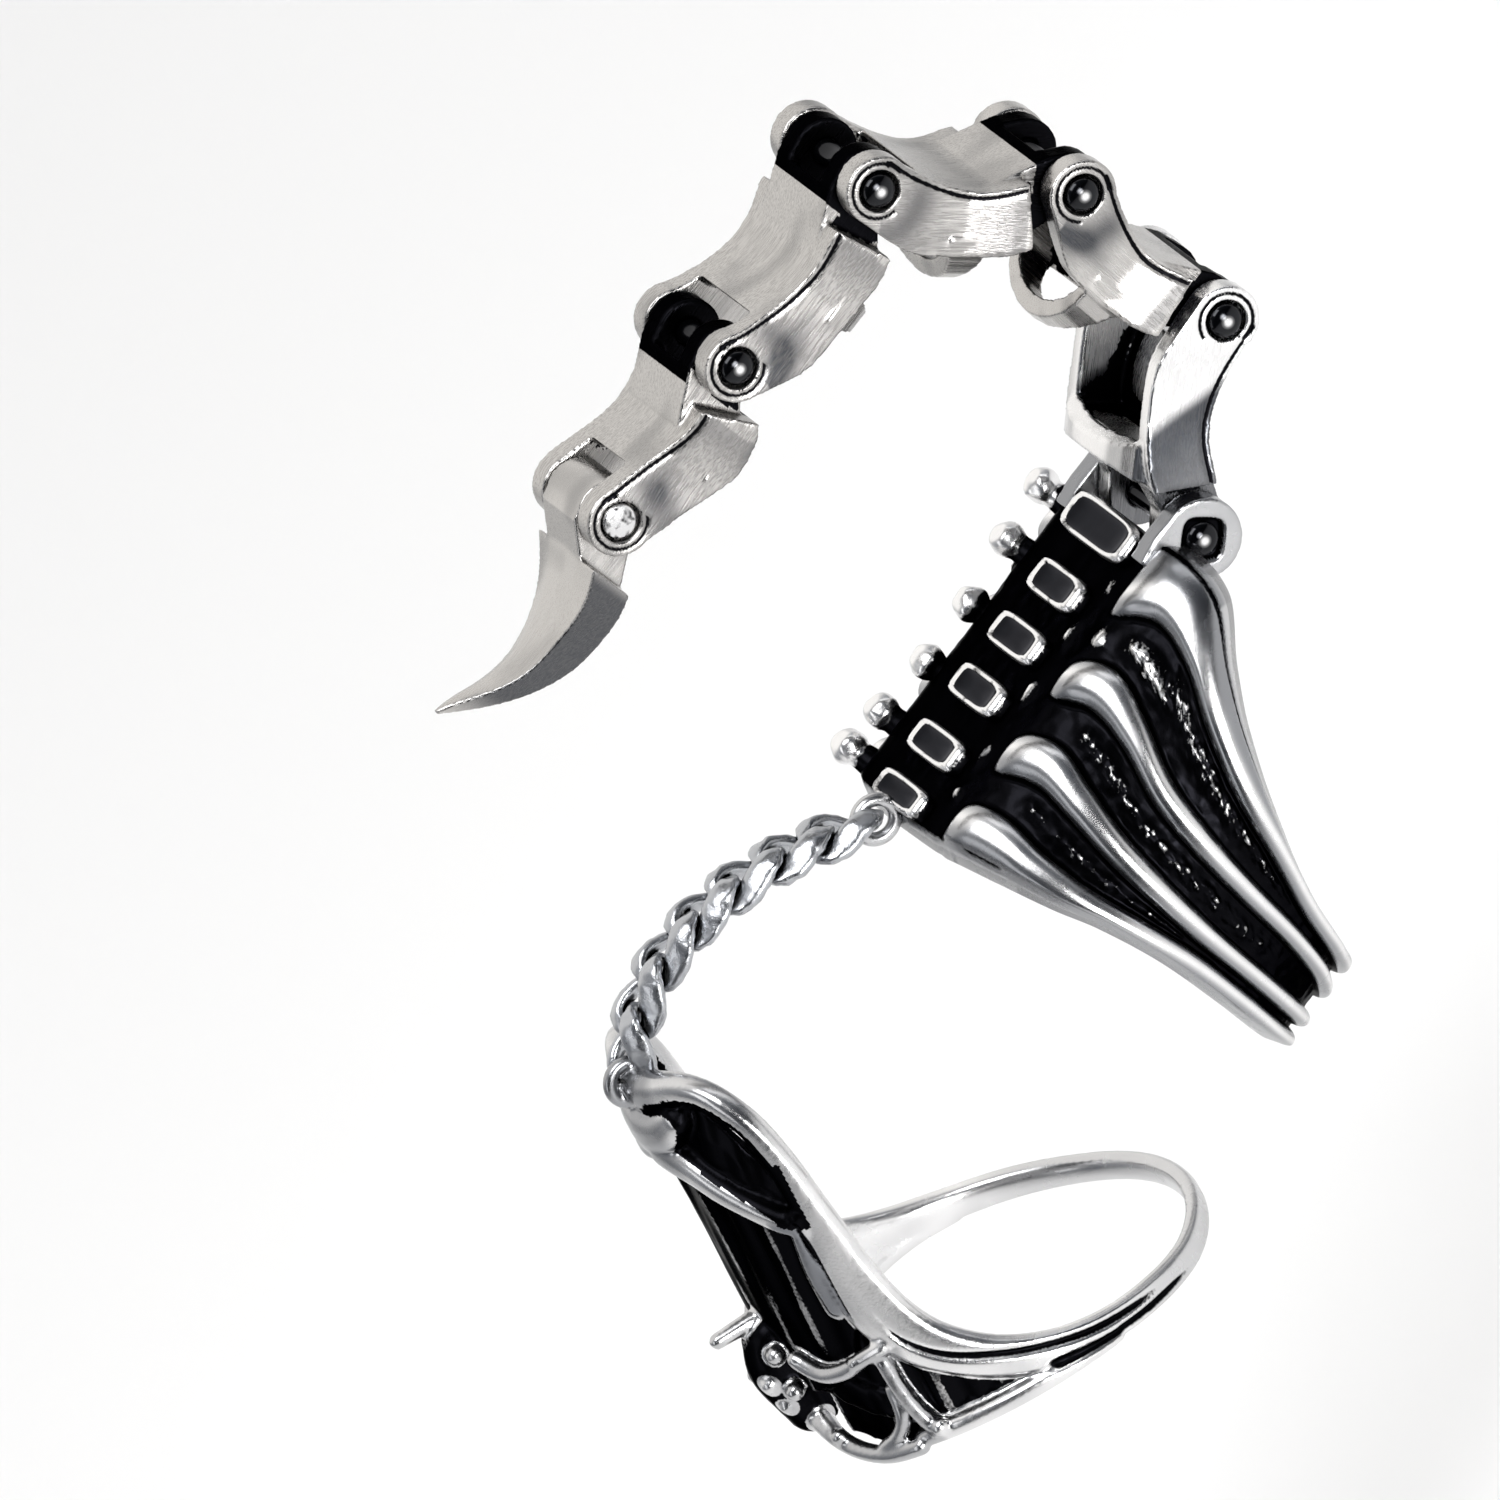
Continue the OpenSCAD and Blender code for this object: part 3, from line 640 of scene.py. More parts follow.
BEADS = [[-7.6, 7.25], [-5.45, 6.8], [-2.4, 6.1], [0.9, 6.1], [4.25, 7], [7.15, 7.5]]
BEAD_Z = FINGER_R + 1.35
BEAD_R = 0.85
BEAD_VOXEL = 0.11


def ball_part(centre, radius, rings=20, sides=32, wobble=0.0):
    points = []
    for r in range(rings + 1):
        lat = math.pi * min(max(r / rings, 0.01), 0.99)
        for k in range(sides):
            turn = 2 * math.pi * k / sides
            points.append((math.sin(lat) * math.cos(turn), math.sin(lat) * math.sin(turn), math.cos(lat)))
    points = np.array(points)
    if wobble:
        points = points * (1 + wobble * speckle(points, 1.7, sum(centre))[:, None])
    return np.asarray(centre, float) + radius * points, capped(rings + 1, sides)


def tube_part(start, end, radius_a, radius_b, sides=24):
    start, end = Vector(start), Vector(end)
    axis = (end - start).normalized()
    side = axis.orthogonal().normalized()
    third = axis.cross(side)
    turns = [2 * math.pi * k / sides for k in range(sides)]
    points = [tuple(c + r * (math.cos(t) * side + math.sin(t) * third))
              for c, r in ((start, radius_a), (end, radius_b)) for t in turns]
    return np.array(points), [tuple(reversed(f)) for f in capped(2, sides)]


def build_beads():
    parts = []
    for x, y in BEADS:
        centre = Vector((x, y, BEAD_Z))
        out = Vector((0, y, BEAD_Z)).normalized()
        parts.append(ball_part(centre, BEAD_R, wobble=0.12))
        parts.append(tube_part(centre - 1.6 * out, centre - 0.2 * out, 0.75, 0.6))
    mesh = voxelled(joined("beads", parts), BEAD_VOXEL)
    relax(mesh, 2)
    co = points_of(mesh)
    out = np.linalg.norm(co[:, 1:], axis=1) - (FINGER_R + 2.55)
    paint_both(mesh, soft_step(0, 0.7, out + 0.25 * speckle(co, 1.9)), 0)
    finish_piece("spine_beads", mesh, "rings", polished)


# Tail

BASE_PIN = (9.56, 9.3)
TAIL = [[10.3, 33.5], [9.75, 86], [9.98, 122.9], [10.3, 178.9], [8.8, 182.8], [12, 180]]
EARS_W = [10.4, 10, 9.8, 9.3, 8.7, 6.8]
EAR_R = 1.65
BASE_EAR_R = 1.95
EAR_T = 1.3
RECESS_R = 0.98
RECESS_DEPTH = 0.4
# The recess in the base ears is a rounded square, turned by this angle
RECESS_TURN = 33.5


def pin(i):
    place = np.array(BASE_PIN)
    for length, angle in TAIL[:i]:
        place += length * heading(angle)
    return place


def link_place(co, i):
    """Points in link i's own frame: along it, across it, and towards the inside of the curl."""
    x, z = pin(i)
    c, s = heading(TAIL[i][1])
    dx, dz = co[:, 0] - x, co[:, 2] - z
    return np.stack([dx * c + dz * s, co[:, 1], -dx * s + dz * c], 1)


def outer_edge(i, length):
    if i == 4:
        return [[2.58, -0.1], [3.4, 0], [4.5, -0.15], [5.9, -0.64], [7.3, -1.2], [8.5, -1.62]]
    return [[2.62, -0.45], [4.6, 0.05], [length - 3.9, -0.1], [length - 2, -0.75], [length - 0.3, -1.62]]


LINK_VOXEL = 0.115
# The dark line along a cheek's outer edge and the arc round its rivet
SEAM_W = 0.12
SEAM_DEPTH = 0.09
ARC_R = 1.3
LINK_METAL = [bright_smooth, smooth, brushed, brushed, brushed]
# The lower half of the first link's cheeks gets painted shade up to a slanting line
SHADE_SLANT = 0.74
SHADE_END = (6.7, 7.6)
# How slowly the painted shade streaks change along, across and through a link
SHADE_STREAK_STRETCH = np.array([0.18, 0.5, 0.8])


def build_link(i):
    node = f"tail_link_{i + 1}"
    length = TAIL[i][0]
    mesh = voxelled(cad_copy(node), LINK_VOXEL)
    relax(mesh, 3)
    co, no = points_of(mesh), normals_of(mesh)
    local = link_place(co, i)
    a, y, n = local.T
    half = (EARS_W[i] + (EARS_W[i + 1] - EARS_W[i]) * np.clip(a / length, 0, 1)) / 2
    on_face = soft_step(0.75, 0.95, np.abs(no[:, 1])) * (np.abs(y) > half - 1)
    edge = along(outer_edge(i, length), a)
    from_edge = n - edge
    on_cheek = on_face * (a > 2.5) * (a < length - 0.2)
    seam = on_cheek * bell(from_edge - 0.3, SEAM_W)
    from_pin = np.hypot(a - length, n)
    arc = on_face * bell(from_pin - ARC_R, SEAM_W) * (a > length - 0.9) * (from_pin < EAR_R)
    co[:, 1] -= np.sign(y) * (SEAM_DEPTH * seam + SEAM_DEPTH * arc)
    set_points(mesh, co)
    seen = openness(mesh)
    corner = ridges(mesh)
    wear = soft_step(0.22, 0.5, seen) + 0.6 * np.clip(corner, 0, 1)
    wear -= 1.1 * seam + 0.9 * arc
    inner = (np.abs(y) < half - EAR_T + 0.06) & (from_edge > 0.25) & (seen < 0.8)
    wear = np.where(inner, 0.0, wear)
    tongue = (a < 1.9) & (np.abs(y) < half - EAR_T)
    if i > 0:
        wear = np.where(tongue, 0.0, wear)
    wear = np.where((on_face > 0.5) & (from_pin < RECESS_R + 0.06), 0.1, wear)
    shade_streaks = speckle(local * SHADE_STREAK_STRETCH, 1.0, 3.0 * i)
    # Painted shade on the cheeks: darker round the rivet towards the inside, across the link's start, in
    # streaks and in recesses
    shade_and_grey = 0.75 * on_cheek * bell(from_pin - 2.2, 0.9) * soft_step(-1.7, 0.6, n)
    shade_and_grey += 0.45 * on_cheek * bell(a - 2.9, 1.0) + 0.4 * soft_step(0.0, 0.6, shade_streaks)
    shade_and_grey += 0.5 * (1 - soft_step(0.35, 0.85, seen))
    if i == 0:
        # Painted shade on the first link's lower half, below a sharp slanting line
        slant = a + SHADE_SLANT * n
        shade = (1 - soft_step(*SHADE_END, slant)) * (0.87 + 0.11 * soft_step(2.5, 6.5, slant))
        shade_and_grey = np.where(np.abs(no[:, 1]) > 0.5, shade, shade_and_grey)
    paint_both(mesh, wear, shade_and_grey)
    place_attribute(mesh, local)
    obj = finish_piece(f"link_{i + 1}", mesh, f"link_{i + 1}", LINK_METAL[i])
    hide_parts(node)


STING_VOXEL = 0.1


def build_sting():
    mesh = voxelled(cad_copy("sting"), STING_VOXEL)
    relax(mesh, 4)
    co = points_of(mesh)
    local = link_place(co, 5)
    seen = openness(mesh)
    wear = soft_step(0.22, 0.5, seen) + 0.5 * np.clip(ridges(mesh), 0, 1)
    # A normal turns into the sting's frame like a point beside its rivet
    no = link_place(normals_of(mesh) + np.array([pin(5)[0], 0, pin(5)[1]]), 5)
    # Painted shade on the sting's side faces, fading out towards its far end, and painted shade streaks
    side = soft_step(0.5, 0.85, np.abs(no[:, 1])) * soft_step(2, 3, local[:, 0])
    shade_streaks = 0.45 * soft_step(-0.1, 0.5, speckle(local * SHADE_STREAK_STRETCH, 1.0, 4.0))
    paint_both(mesh, wear, np.maximum(0.95 * side * (1 - soft_step(9.5, 12, local[:, 0])), shade_streaks))
    place_attribute(mesh, local)
    obj = finish_piece("sting_blade", mesh, "sting", smooth)
    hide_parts("sting")


PIN_R = 0.6
HEAD_R = 0.82
DOME_RISE = 0.42
# The sting's rivet is flatter than the others, and bright
FLUSH_RIVET = 5
FLUSH_RISE = 0.14
# Radius of the bright silver crown on each dome, worn bright and placed as a painted highlight
HIGHLIGHT_CROWN_R = 0.3


def build_rivet(i):
    """A turned pin with a domed head at each end."""
    half = EARS_W[i] / 2 - RECESS_DEPTH + 0.02
    sides = 48
    flush = i == FLUSH_RIVET
    rise = FLUSH_RISE if flush else DOME_RISE
    outline = [(half + 0.2 + rise * math.cos(t), HEAD_R * math.sin(t))
               for t in np.linspace(0.02, math.pi / 2, 12)]
    outline += [(half, HEAD_R), (half, PIN_R)]
    ring = outline + [(-y, r) for y, r in reversed(outline)]
    x, z = pin(i)
    turn = full_turn(sides)
    points = np.array([[x + r * math.cos(t), y, z + r * math.sin(t)] for y, r in ring for t in turn])
    mesh = make_mesh("rivet", points, capped(len(ring), sides))
    body = "rings" if i == 0 else f"link_{i}"
    # A painted highlight: a worn silver crown in the middle of each dome
    crown = 1 - soft_step(0.3 * HIGHLIGHT_CROWN_R, HIGHLIGHT_CROWN_R, np.hypot(points[:, 0] - x, points[:, 2] - z))
    paint_both(mesh, 0.62 + 0.5 * speckle(points, 4) if flush else crown, 0.2)
    obj = finish_piece(f"pin_{i}", mesh, body, polished if flush else black_dome)
    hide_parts(f"rivet_{i}")


# Side view of the arm that carries a base ear, from the first rivet
BASE_ARM = [[-2.6, 0.15], [-2.6, 1.8], [-1.3, 2], [0.35, 1.91], [0.2, -1], [-1.55, -1.15], [-1.3, -0.3]]
EAR_VOXEL = 0.1
EAR_GREY = 0.52


def plate_part(outline, low, high):
    points = [(x, y, z) for y in (low, high) for x, z in outline]
    return np.array(points), capped(2, len(outline))


def build_base_ears():
    x, z = pin(0)
    parts = []
    for side in (-1, 1):
        low = side * EARS_W[0] / 2 if side < 0 else EARS_W[0] / 2 - EAR_T
        arm = [(x + a, z + b) for a, b in BASE_ARM]
        disc = [(x + BASE_EAR_R * math.cos(t), z + BASE_EAR_R * math.sin(t))
                for t in np.linspace(0, -2 * math.pi, 64, endpoint=False)]
        parts += [plate_part(arm, low, low + EAR_T), plate_part(disc, low, low + EAR_T)]
    mesh = voxelled(joined("ears", parts), EAR_VOXEL)
    relax(mesh, 3)
    co = points_of(mesh)
    from_pin = np.hypot(co[:, 0] - x, co[:, 2] - z)
    outer = np.abs(co[:, 1]) > EARS_W[0] / 2 - 0.3
    c, s = heading(RECESS_TURN)
    square = (np.abs((co[:, 0] - x) * c + (co[:, 2] - z) * s) ** 4
              + np.abs((co[:, 2] - z) * c - (co[:, 0] - x) * s) ** 4) ** 0.25
    sink = outer * (1 - soft_step(RECESS_R - 0.06, RECESS_R + 0.08, square))
    co[:, 1] -= np.sign(co[:, 1]) * RECESS_DEPTH * sink
    set_points(mesh, co)
    wear = soft_step(0.2, 0.45, openness(mesh)) + 0.5 * np.clip(ridges(mesh), 0, 1)
    wear = np.where(sink > 0.3, 0.1, wear)
    # A steady grey, with painted shade on the faces that don't face sideways
    paint_both(mesh, wear, EAR_GREY + 0.3 * (1 - soft_step(0.4, 0.9, np.abs(normals_of(mesh)[:, 1]))))
    finish_piece("base_ears", mesh, "rings", polished)


# Chain

CHAIN_START = np.array([-9.95, 11.7])
CHAIN_PITCH = 2.44
CHAIN_TURNS = [143, 149, 158, 168, 180, 196, 216]
CHAIN_HALF = CHAIN_PITCH / 2 + 0.5
CHAIN_REACH = 1.02
# Half width of a link's wire at its ends, what its long arms add, half thickness, lean of the arms
CHAIN_WIRE = 0.32
CHAIN_SWELL = 0.34
CHAIN_THICK = 0.31
CHAIN_LEAN = -0.75
CHAIN_TWIST = -0.5
WIRE_CORNER = 0.6
HAMMERED = 0.07
EYE_R = 0.95
EYE_WIRE = 0.33
EYE_BACK = 0.5


def chain_joint(i):
    return CHAIN_START + CHAIN_PITCH * sum((heading(t) for t in CHAIN_TURNS[:i]), np.zeros(2))


def chain_link_part(i):
    """A twisted oval link whose long arms are wide, flat and lean outward."""
    turns, around = full_turn(72), full_turn(20)
    centres = np.array([[CHAIN_HALF * math.cos(t), CHAIN_REACH * math.sin(t), CHAIN_TWIST * math.sin(2 * t)]
                        for t in turns])
    points = []
    for k, t in enumerate(turns):
        ahead = centres[(k + 1) % len(turns)] - centres[k - 1]
        ahead /= np.linalg.norm(ahead)
        side = np.cross(ahead, (0, 0, 1))
        side /= np.linalg.norm(side)
        up = np.cross(side, ahead)
        arm = abs(math.sin(t)) ** 1.5
        lean = CHAIN_LEAN * arm
        flat = math.cos(lean) * side - math.sin(lean) * up
        face = math.cos(lean) * up + math.sin(lean) * side
        for a in around:
            across = (CHAIN_WIRE + CHAIN_SWELL * arm) * math.cos(a)
            through = CHAIN_THICK * squarish(math.sin(a), WIRE_CORNER)
            points.append(centres[k] + across * flat + through * face)
    points, faces = np.array(points), grid_faces(len(turns), len(around), closed_rows=True)
    points = points * (1 + HAMMERED * speckle(points, 2.3, 5.0 * i))[:, None]
    middle = (chain_joint(i) + chain_joint(i + 1)) / 2
    c, s = heading(CHAIN_TURNS[i])
    placed = np.stack([middle[0] + points[:, 0] * c - points[:, 2] * s, points[:, 1],
                       middle[1] + points[:, 0] * s + points[:, 2] * c], 1)
    return placed, faces


def eye_part(centre):
    turns, around = full_turn(48), full_turn(16)
    points = [(centre[0] + (EYE_R + EYE_WIRE * math.cos(a)) * math.cos(t), EYE_WIRE * math.sin(a),
               centre[1] + (EYE_R + EYE_WIRE * math.cos(a)) * math.sin(t)) for t in turns for a in around]
    return np.array(points), grid_faces(len(turns), len(around), closed_rows=True)


def build_chain():
    mesh = joined("chain", [chain_link_part(i) for i in range(len(CHAIN_TURNS))])
    seen = openness(mesh, 1.2)
    co = points_of(mesh)
    wear = soft_step(0.3, 0.6, seen) + 0.2 * speckle(co, 3)
    # Painted shade in the chain's recesses
    paint_both(mesh, wear, 0.3 * (1 - soft_step(0.4, 0.8, seen)))
    obj = finish_piece("curb_chain", mesh, "rings", chain_silver)
    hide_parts("chain")


PLATE_EYE = CHAIN_START - EYE_BACK * heading(CHAIN_TURNS[0])
LOWER_EYE = chain_joint(len(CHAIN_TURNS)) + EYE_BACK * heading(CHAIN_TURNS[-1])


def build_plate_eye():
    mesh = joined("eye", [eye_part(PLATE_EYE)])
    paint_both(mesh, 0.8, 0.45)
    finish_piece("plate_eye", mesh, "rings", polished)


# Lower ring

LOWER_R = 9.3
BEND = math.radians(68)
LOWER_OUT = np.array([-math.cos(BEND), -math.sin(BEND)])
LOWER_UP = np.array([-math.sin(BEND), math.cos(BEND)])
LOWER_CENTRE = LOWER_EYE - (LOWER_R + 1.2) * LOWER_UP + 0.55 * LOWER_OUT


# Bars on the finger: angle from its top, distance from the front rim, height, half width
RIM = [[0, 0, 1.7, 1.1], [11, -0.25, 1.55, 1], [20, -0.6, 1.35, 0.75], [28, -0.35, 1.25, 0.62],
    [33.5, 0.4, 1.25, 0.62], [38.6, 1.8, 1.25, 0.62], [41.8, 4, 1.25, 0.7], [43, 6.2, 1.3, 0.85],
    [43.6, 8, 1.3, 1.05], [43.8, 9.6, 1.3, 1.25], [44.8, 11.3, 1.3, 1.45], [47.5, 13, 1.3, 1.5],
    [53, 14.5, 1.3, 1.35], [60, 15.6, 1.3, 1.15], [70, 16.75, 1.25, 1], [84, 17.75, 1.2, 0.9],
    [100, 18.35, 1.1, 0.8], [118, 18.7, 1, 0.75], [136, 18.95, 0.95, 0.7], [152, 19, 0.9, 0.7],
    [171, 19, 0.9, 0.7]]
DISTAL = [[41, 19.45, 1.35, 0.45], [50, 19.2, 1.4, 0.5], [60, 19, 1.4, 0.5], [72, 18.85, 1.35, 0.5],
    [86, 18.75, 1.3, 0.5], [100, 18.7, 1.15, 0.6]]
# Curved plates: angle, distances of the two edges from the front rim
SHIELD = [[-38, 5.4, 13.2], [-32, 3.2, 15.2], [-24, 1.1, 16.2], [-16, 0.7, 16.6], [-8, 0.9, 16.8],
    [0, 1.1, 16.8], [8, 0.9, 16.8], [16, 0.7, 16.6], [24, 1.1, 16.2], [32, 3.2, 15.2], [38, 5.4, 13.2]]
SHIELD_LIP = 0.45
SHIELD_RAMP = 2.6
SHIELD_EDGE = 0.85
SHIELD_CROWN = 0.3
WEB = [[40, 12.9, 18.85], [47.5, 14.4, 19.05], [55, 15.4, 18.85], [63, 16.4, 18.65], [74, 17.3, 18.5],
    [82, 17.9, 18.65]]
WEB_HEIGHT = 0.78
POCKET = [[12, 15.6, 19.4], [22, 15.2, 20.1], [32, 13.8, 20.2], [42, 13.4, 19.9], [48, 14.6, 19.2]]
SHOULDER = [[0, 2, 2.15, 1.45], [9, 1.7, 2, 1.1], [15, 1, 1.75, 0.85]]
LIMB = [[4, 2.9, 2.1, 1], [14, 3.75, 1.95, 0.8], [21.5, 4.8, 1.85, 0.7], [29, 5.8, 1.75, 0.65],
    [35, 6.7, 1.6, 0.65], [40, 7.2, 1.4, 0.65]]
ARM = [[39.5, 6.6, 0.95, 0.55], [37.4, 8.2, 0.9, 0.52], [35.6, 9.9, 0.85, 0.48], [35, 12, 0.7, 0.42]]
HEAD = [[0, 14.2, 1, 1.4], [0, 15.6, 1.3, 1.5], [0, 17.1, 1.1, 1.4], [0, 18.3, 0.95, 1.24]]
JAW = [[15.5, 14.5, 1.5, 0.45], [23, 15.15, 1.5, 0.42], [31, 15, 1.45, 0.42], [38, 14.5, 1.3, 0.4],
    [44, 14.2, 1.1, 0.44]]
TOOTH = [[42, 14.9, 1.1, 0.42], [43, 16.7, 1.2, 0.4], [45, 18.3, 1.15, 0.42], [47.2, 19.05, 1.1, 0.45]]
CLAW = [[39.2, 16.6, 0.8, 0.36], [38.9, 18.1, 1.05, 0.38], [35.2, 19, 1.1, 0.38], [29, 19.6, 1.2, 0.36]]
LOWER_JAW = [[6, 18.6, 1.1, 0.6], [12, 19.2, 1.25, 0.48], [20, 19.7, 1.3, 0.44], [30, 19.9, 1.3, 0.43],
    [40.5, 19.65, 1.25, 0.44]]
CROSSBAR = [[14, 16, 0.95, 0.9], [27, 17.2, 0.85, 0.9], [40, 17.8, 0.75, 0.6]]
PEG = [[0, 13, 0.6, 0.5], [0, 12.9, 3.4, 0.38]]
LOWER_BEADS = [[7.4, 14.4, 1.7, 0.45], [4, 15.8, 2.35, 0.45], [4, 17.2, 2.1, 0.4], [8.4, 16.4, 1.75, 0.45],
    [15.9, 14.4, 1.6, 0.4], [35.6, 14.6, 1.5, 0.38], [15.3, 18.95, 1.45, 0.4], [48.2, 18.85, 1.3, 0.45]]

# Dark grooves in the rim: the slit in its broad part, and the one along its lower edge
SLIT = [[47, 12.5], [48.3, 13.5], [53, 14.65], [60.2, 15.6], [72.2, 16.55], [81, 17.1], [95, 17.85],
    [110, 18.3], [126, 18.6]]
SLIT_W = 0.19
UNDERCUT = [[80, 18.2], [90, 18.45], [104, 18.8], [120, 19.05], [138, 19.3]]
UNDERCUT_W = 0.22
GROOVE_DEPTH = 0.34
# The crease between rim and strut: angle, distances where it starts and ends
CREASE = [39.2, 6.6, 12.8]
CREASE_W = 0.11
# Millimetres round the finger for one degree, out on the bars
MM_PER_DEGREE = 0.18
# Long folds in the black body: how fast they change round the finger and along it, and their depth
FOLD_TURN = 0.2
FOLD_RUN = 0.12
FOLD_DEPTH = 0.22
BAR_CORNER = 0.75
LOWER_VOXEL = 0.12
# Painted greys: the strut and the claws painted darker, painted shade on the hoop and on the shoulder
STRUT_GREY = 0.9
CLAW_GREY = 0.55
HOOP_SHADE = 0.35
SHOULDER_SHADE = 0.72


def on_finger(theta, t, height):
    """Points from an angle (growing to the near side), a distance from the rim and a height."""
    theta, t, height = np.broadcast_arrays(np.radians(theta), t, height)
    r = LOWER_R + height
    x = LOWER_CENTRE[0] + r * np.cos(theta) * LOWER_UP[0] + t * LOWER_OUT[0]
    z = LOWER_CENTRE[1] + r * np.cos(theta) * LOWER_UP[1] + t * LOWER_OUT[1]
    return np.stack([x, -r * np.sin(theta), z], -1)


def finger_place(co):
    """The angle, distance and height of each point."""
    x, z = co[:, 0] - LOWER_CENTRE[0], co[:, 2] - LOWER_CENTRE[1]
    t = x * LOWER_OUT[0] + z * LOWER_OUT[1]
    up = x * LOWER_UP[0] + z * LOWER_UP[1]
    return np.degrees(np.arctan2(-co[:, 1], up)), t, np.hypot(up, co[:, 1]) - LOWER_R


def bar_part(rows, foot=None, step=0.22, sides=18):
    """A bar on a smooth curve through its rows: round in section, or standing on a foot."""
    rows = np.array(rows, float)
    centres = on_finger(rows[:, 0], rows[:, 1], rows[:, 2])
    lengths = np.concatenate([[0], np.cumsum(np.linalg.norm(np.diff(centres, axis=0), axis=1))])
    table = np.column_stack([lengths, rows])
    first, last = rows[0, 3], rows[-1, 3]
    count = max(8, int((lengths[-1] + first + last) / step))
    places = np.linspace(-first * 0.98, lengths[-1] + last * 0.98, count)
    inner = np.clip(places, 0, lengths[-1])
    theta, t, height, half = (along(table, inner, k) for k in (1, 2, 3, 4))
    past_end = np.where(places > lengths[-1], (places - lengths[-1]) / last, 0)
    over = np.where(places < 0, -places / first, past_end)
    swell = np.sqrt(np.clip(1 - over**2, 0.003, 1))
    lift = height if foot is None else (height + foot) / 2
    path = on_finger(theta, t, lift)
    way = np.gradient(path, axis=0)
    flat = inner == places
    good = np.flatnonzero(flat)
    way[:good[0]], way[good[-1] + 1:] = way[good[0] + 1], way[good[-1] - 1]
    way /= np.linalg.norm(way, axis=1)[:, None]
    path = path + way * (places - inner)[:, None]
    out = on_finger(theta, t, lift + 1) - on_finger(theta, t, lift)
    side = np.cross(way, out)
    side /= np.linalg.norm(side, axis=1)[:, None]
    out = np.cross(side, way)
    around = full_turn(sides)
    c, s = np.cos(around), np.sin(around)
    if foot is None:
        u, v = half[:, None] * c, half[:, None] * s
    else:
        u = half[:, None] * squarish(c, BAR_CORNER)
        v = (height - foot)[:, None] / 2 * squarish(s, BAR_CORNER)
    u, v = u * swell[:, None], v * swell[:, None]
    points = path[:, None] + u[..., None] * side[:, None] + v[..., None] * out[:, None]
    return points.reshape(-1, 3), capped(count, sides)


def plate_on_finger(rows, foot, lip, ramp, edge, crown, count=60):
    """A curved plate, thin at its front edge."""
    rows = np.array(rows, float)
    theta = np.linspace(rows[0, 0], rows[-1, 0], count)
    front, back = along(rows, theta, 1), along(rows, theta, 2)
    top = edge + crown * np.cos(np.radians(theta * 90 / 40))
    columns = [(back, foot + 0 * theta), (front, foot + 0 * theta), (front, np.minimum(lip, top)),
               (front + ramp * 0.5, (lip + top) / 2 + 0.08), (front + ramp, top), (back - 0.1, top)]
    points = np.stack([on_finger(theta, t, h) for t, h in columns], 1)
    return points.reshape(-1, 3), capped(count, len(columns))


def other_side(rows):
    return [[-r[0], *r[1:]] for r in reversed(rows)]


def both_sides(rows, foot=None):
    return [bar_part(rows, foot), bar_part(other_side(rows), foot)]


def lower_parts():
    """The ring's bright parts and its dark ones, as two lists of closed parts."""
    close = [[-RIM[-1][0] + 360, *RIM[-1][1:]]]
    balls = [ball_part(on_finger(theta, t, height), r)
             for theta, t, height, r in LOWER_BEADS + other_side(LOWER_BEADS)]
    bright = [bar_part(other_side(RIM)[:-1] + RIM + close, 0.0), eye_part(LOWER_EYE)]
    bright += both_sides(DISTAL, 0.06) + [bar_part(other_side(SHOULDER)[:-1] + SHOULDER, 0.11)]
    bright += both_sides(LIMB, 0.17)
    for rows in (ARM, JAW, TOOTH, CLAW, LOWER_JAW):
        bright += both_sides(rows)
    bright += [bar_part(PEG)] + balls
    dark = both_sides(CROSSBAR, 0.09) + [bar_part(HEAD)]
    dark += [plate_on_finger(SHIELD, 0.04, SHIELD_LIP, SHIELD_RAMP, SHIELD_EDGE, SHIELD_CROWN)]
    dark += [plate_on_finger(rows, 0.13, WEB_HEIGHT - 0.05, 0.3, WEB_HEIGHT, 0)
             for rows in (WEB, other_side(WEB))]
    dark += [plate_on_finger(rows, 0.13, 0.35, 0.3, 0.4, 0)
             for rows in (POCKET, other_side(POCKET))]
    return bright, dark


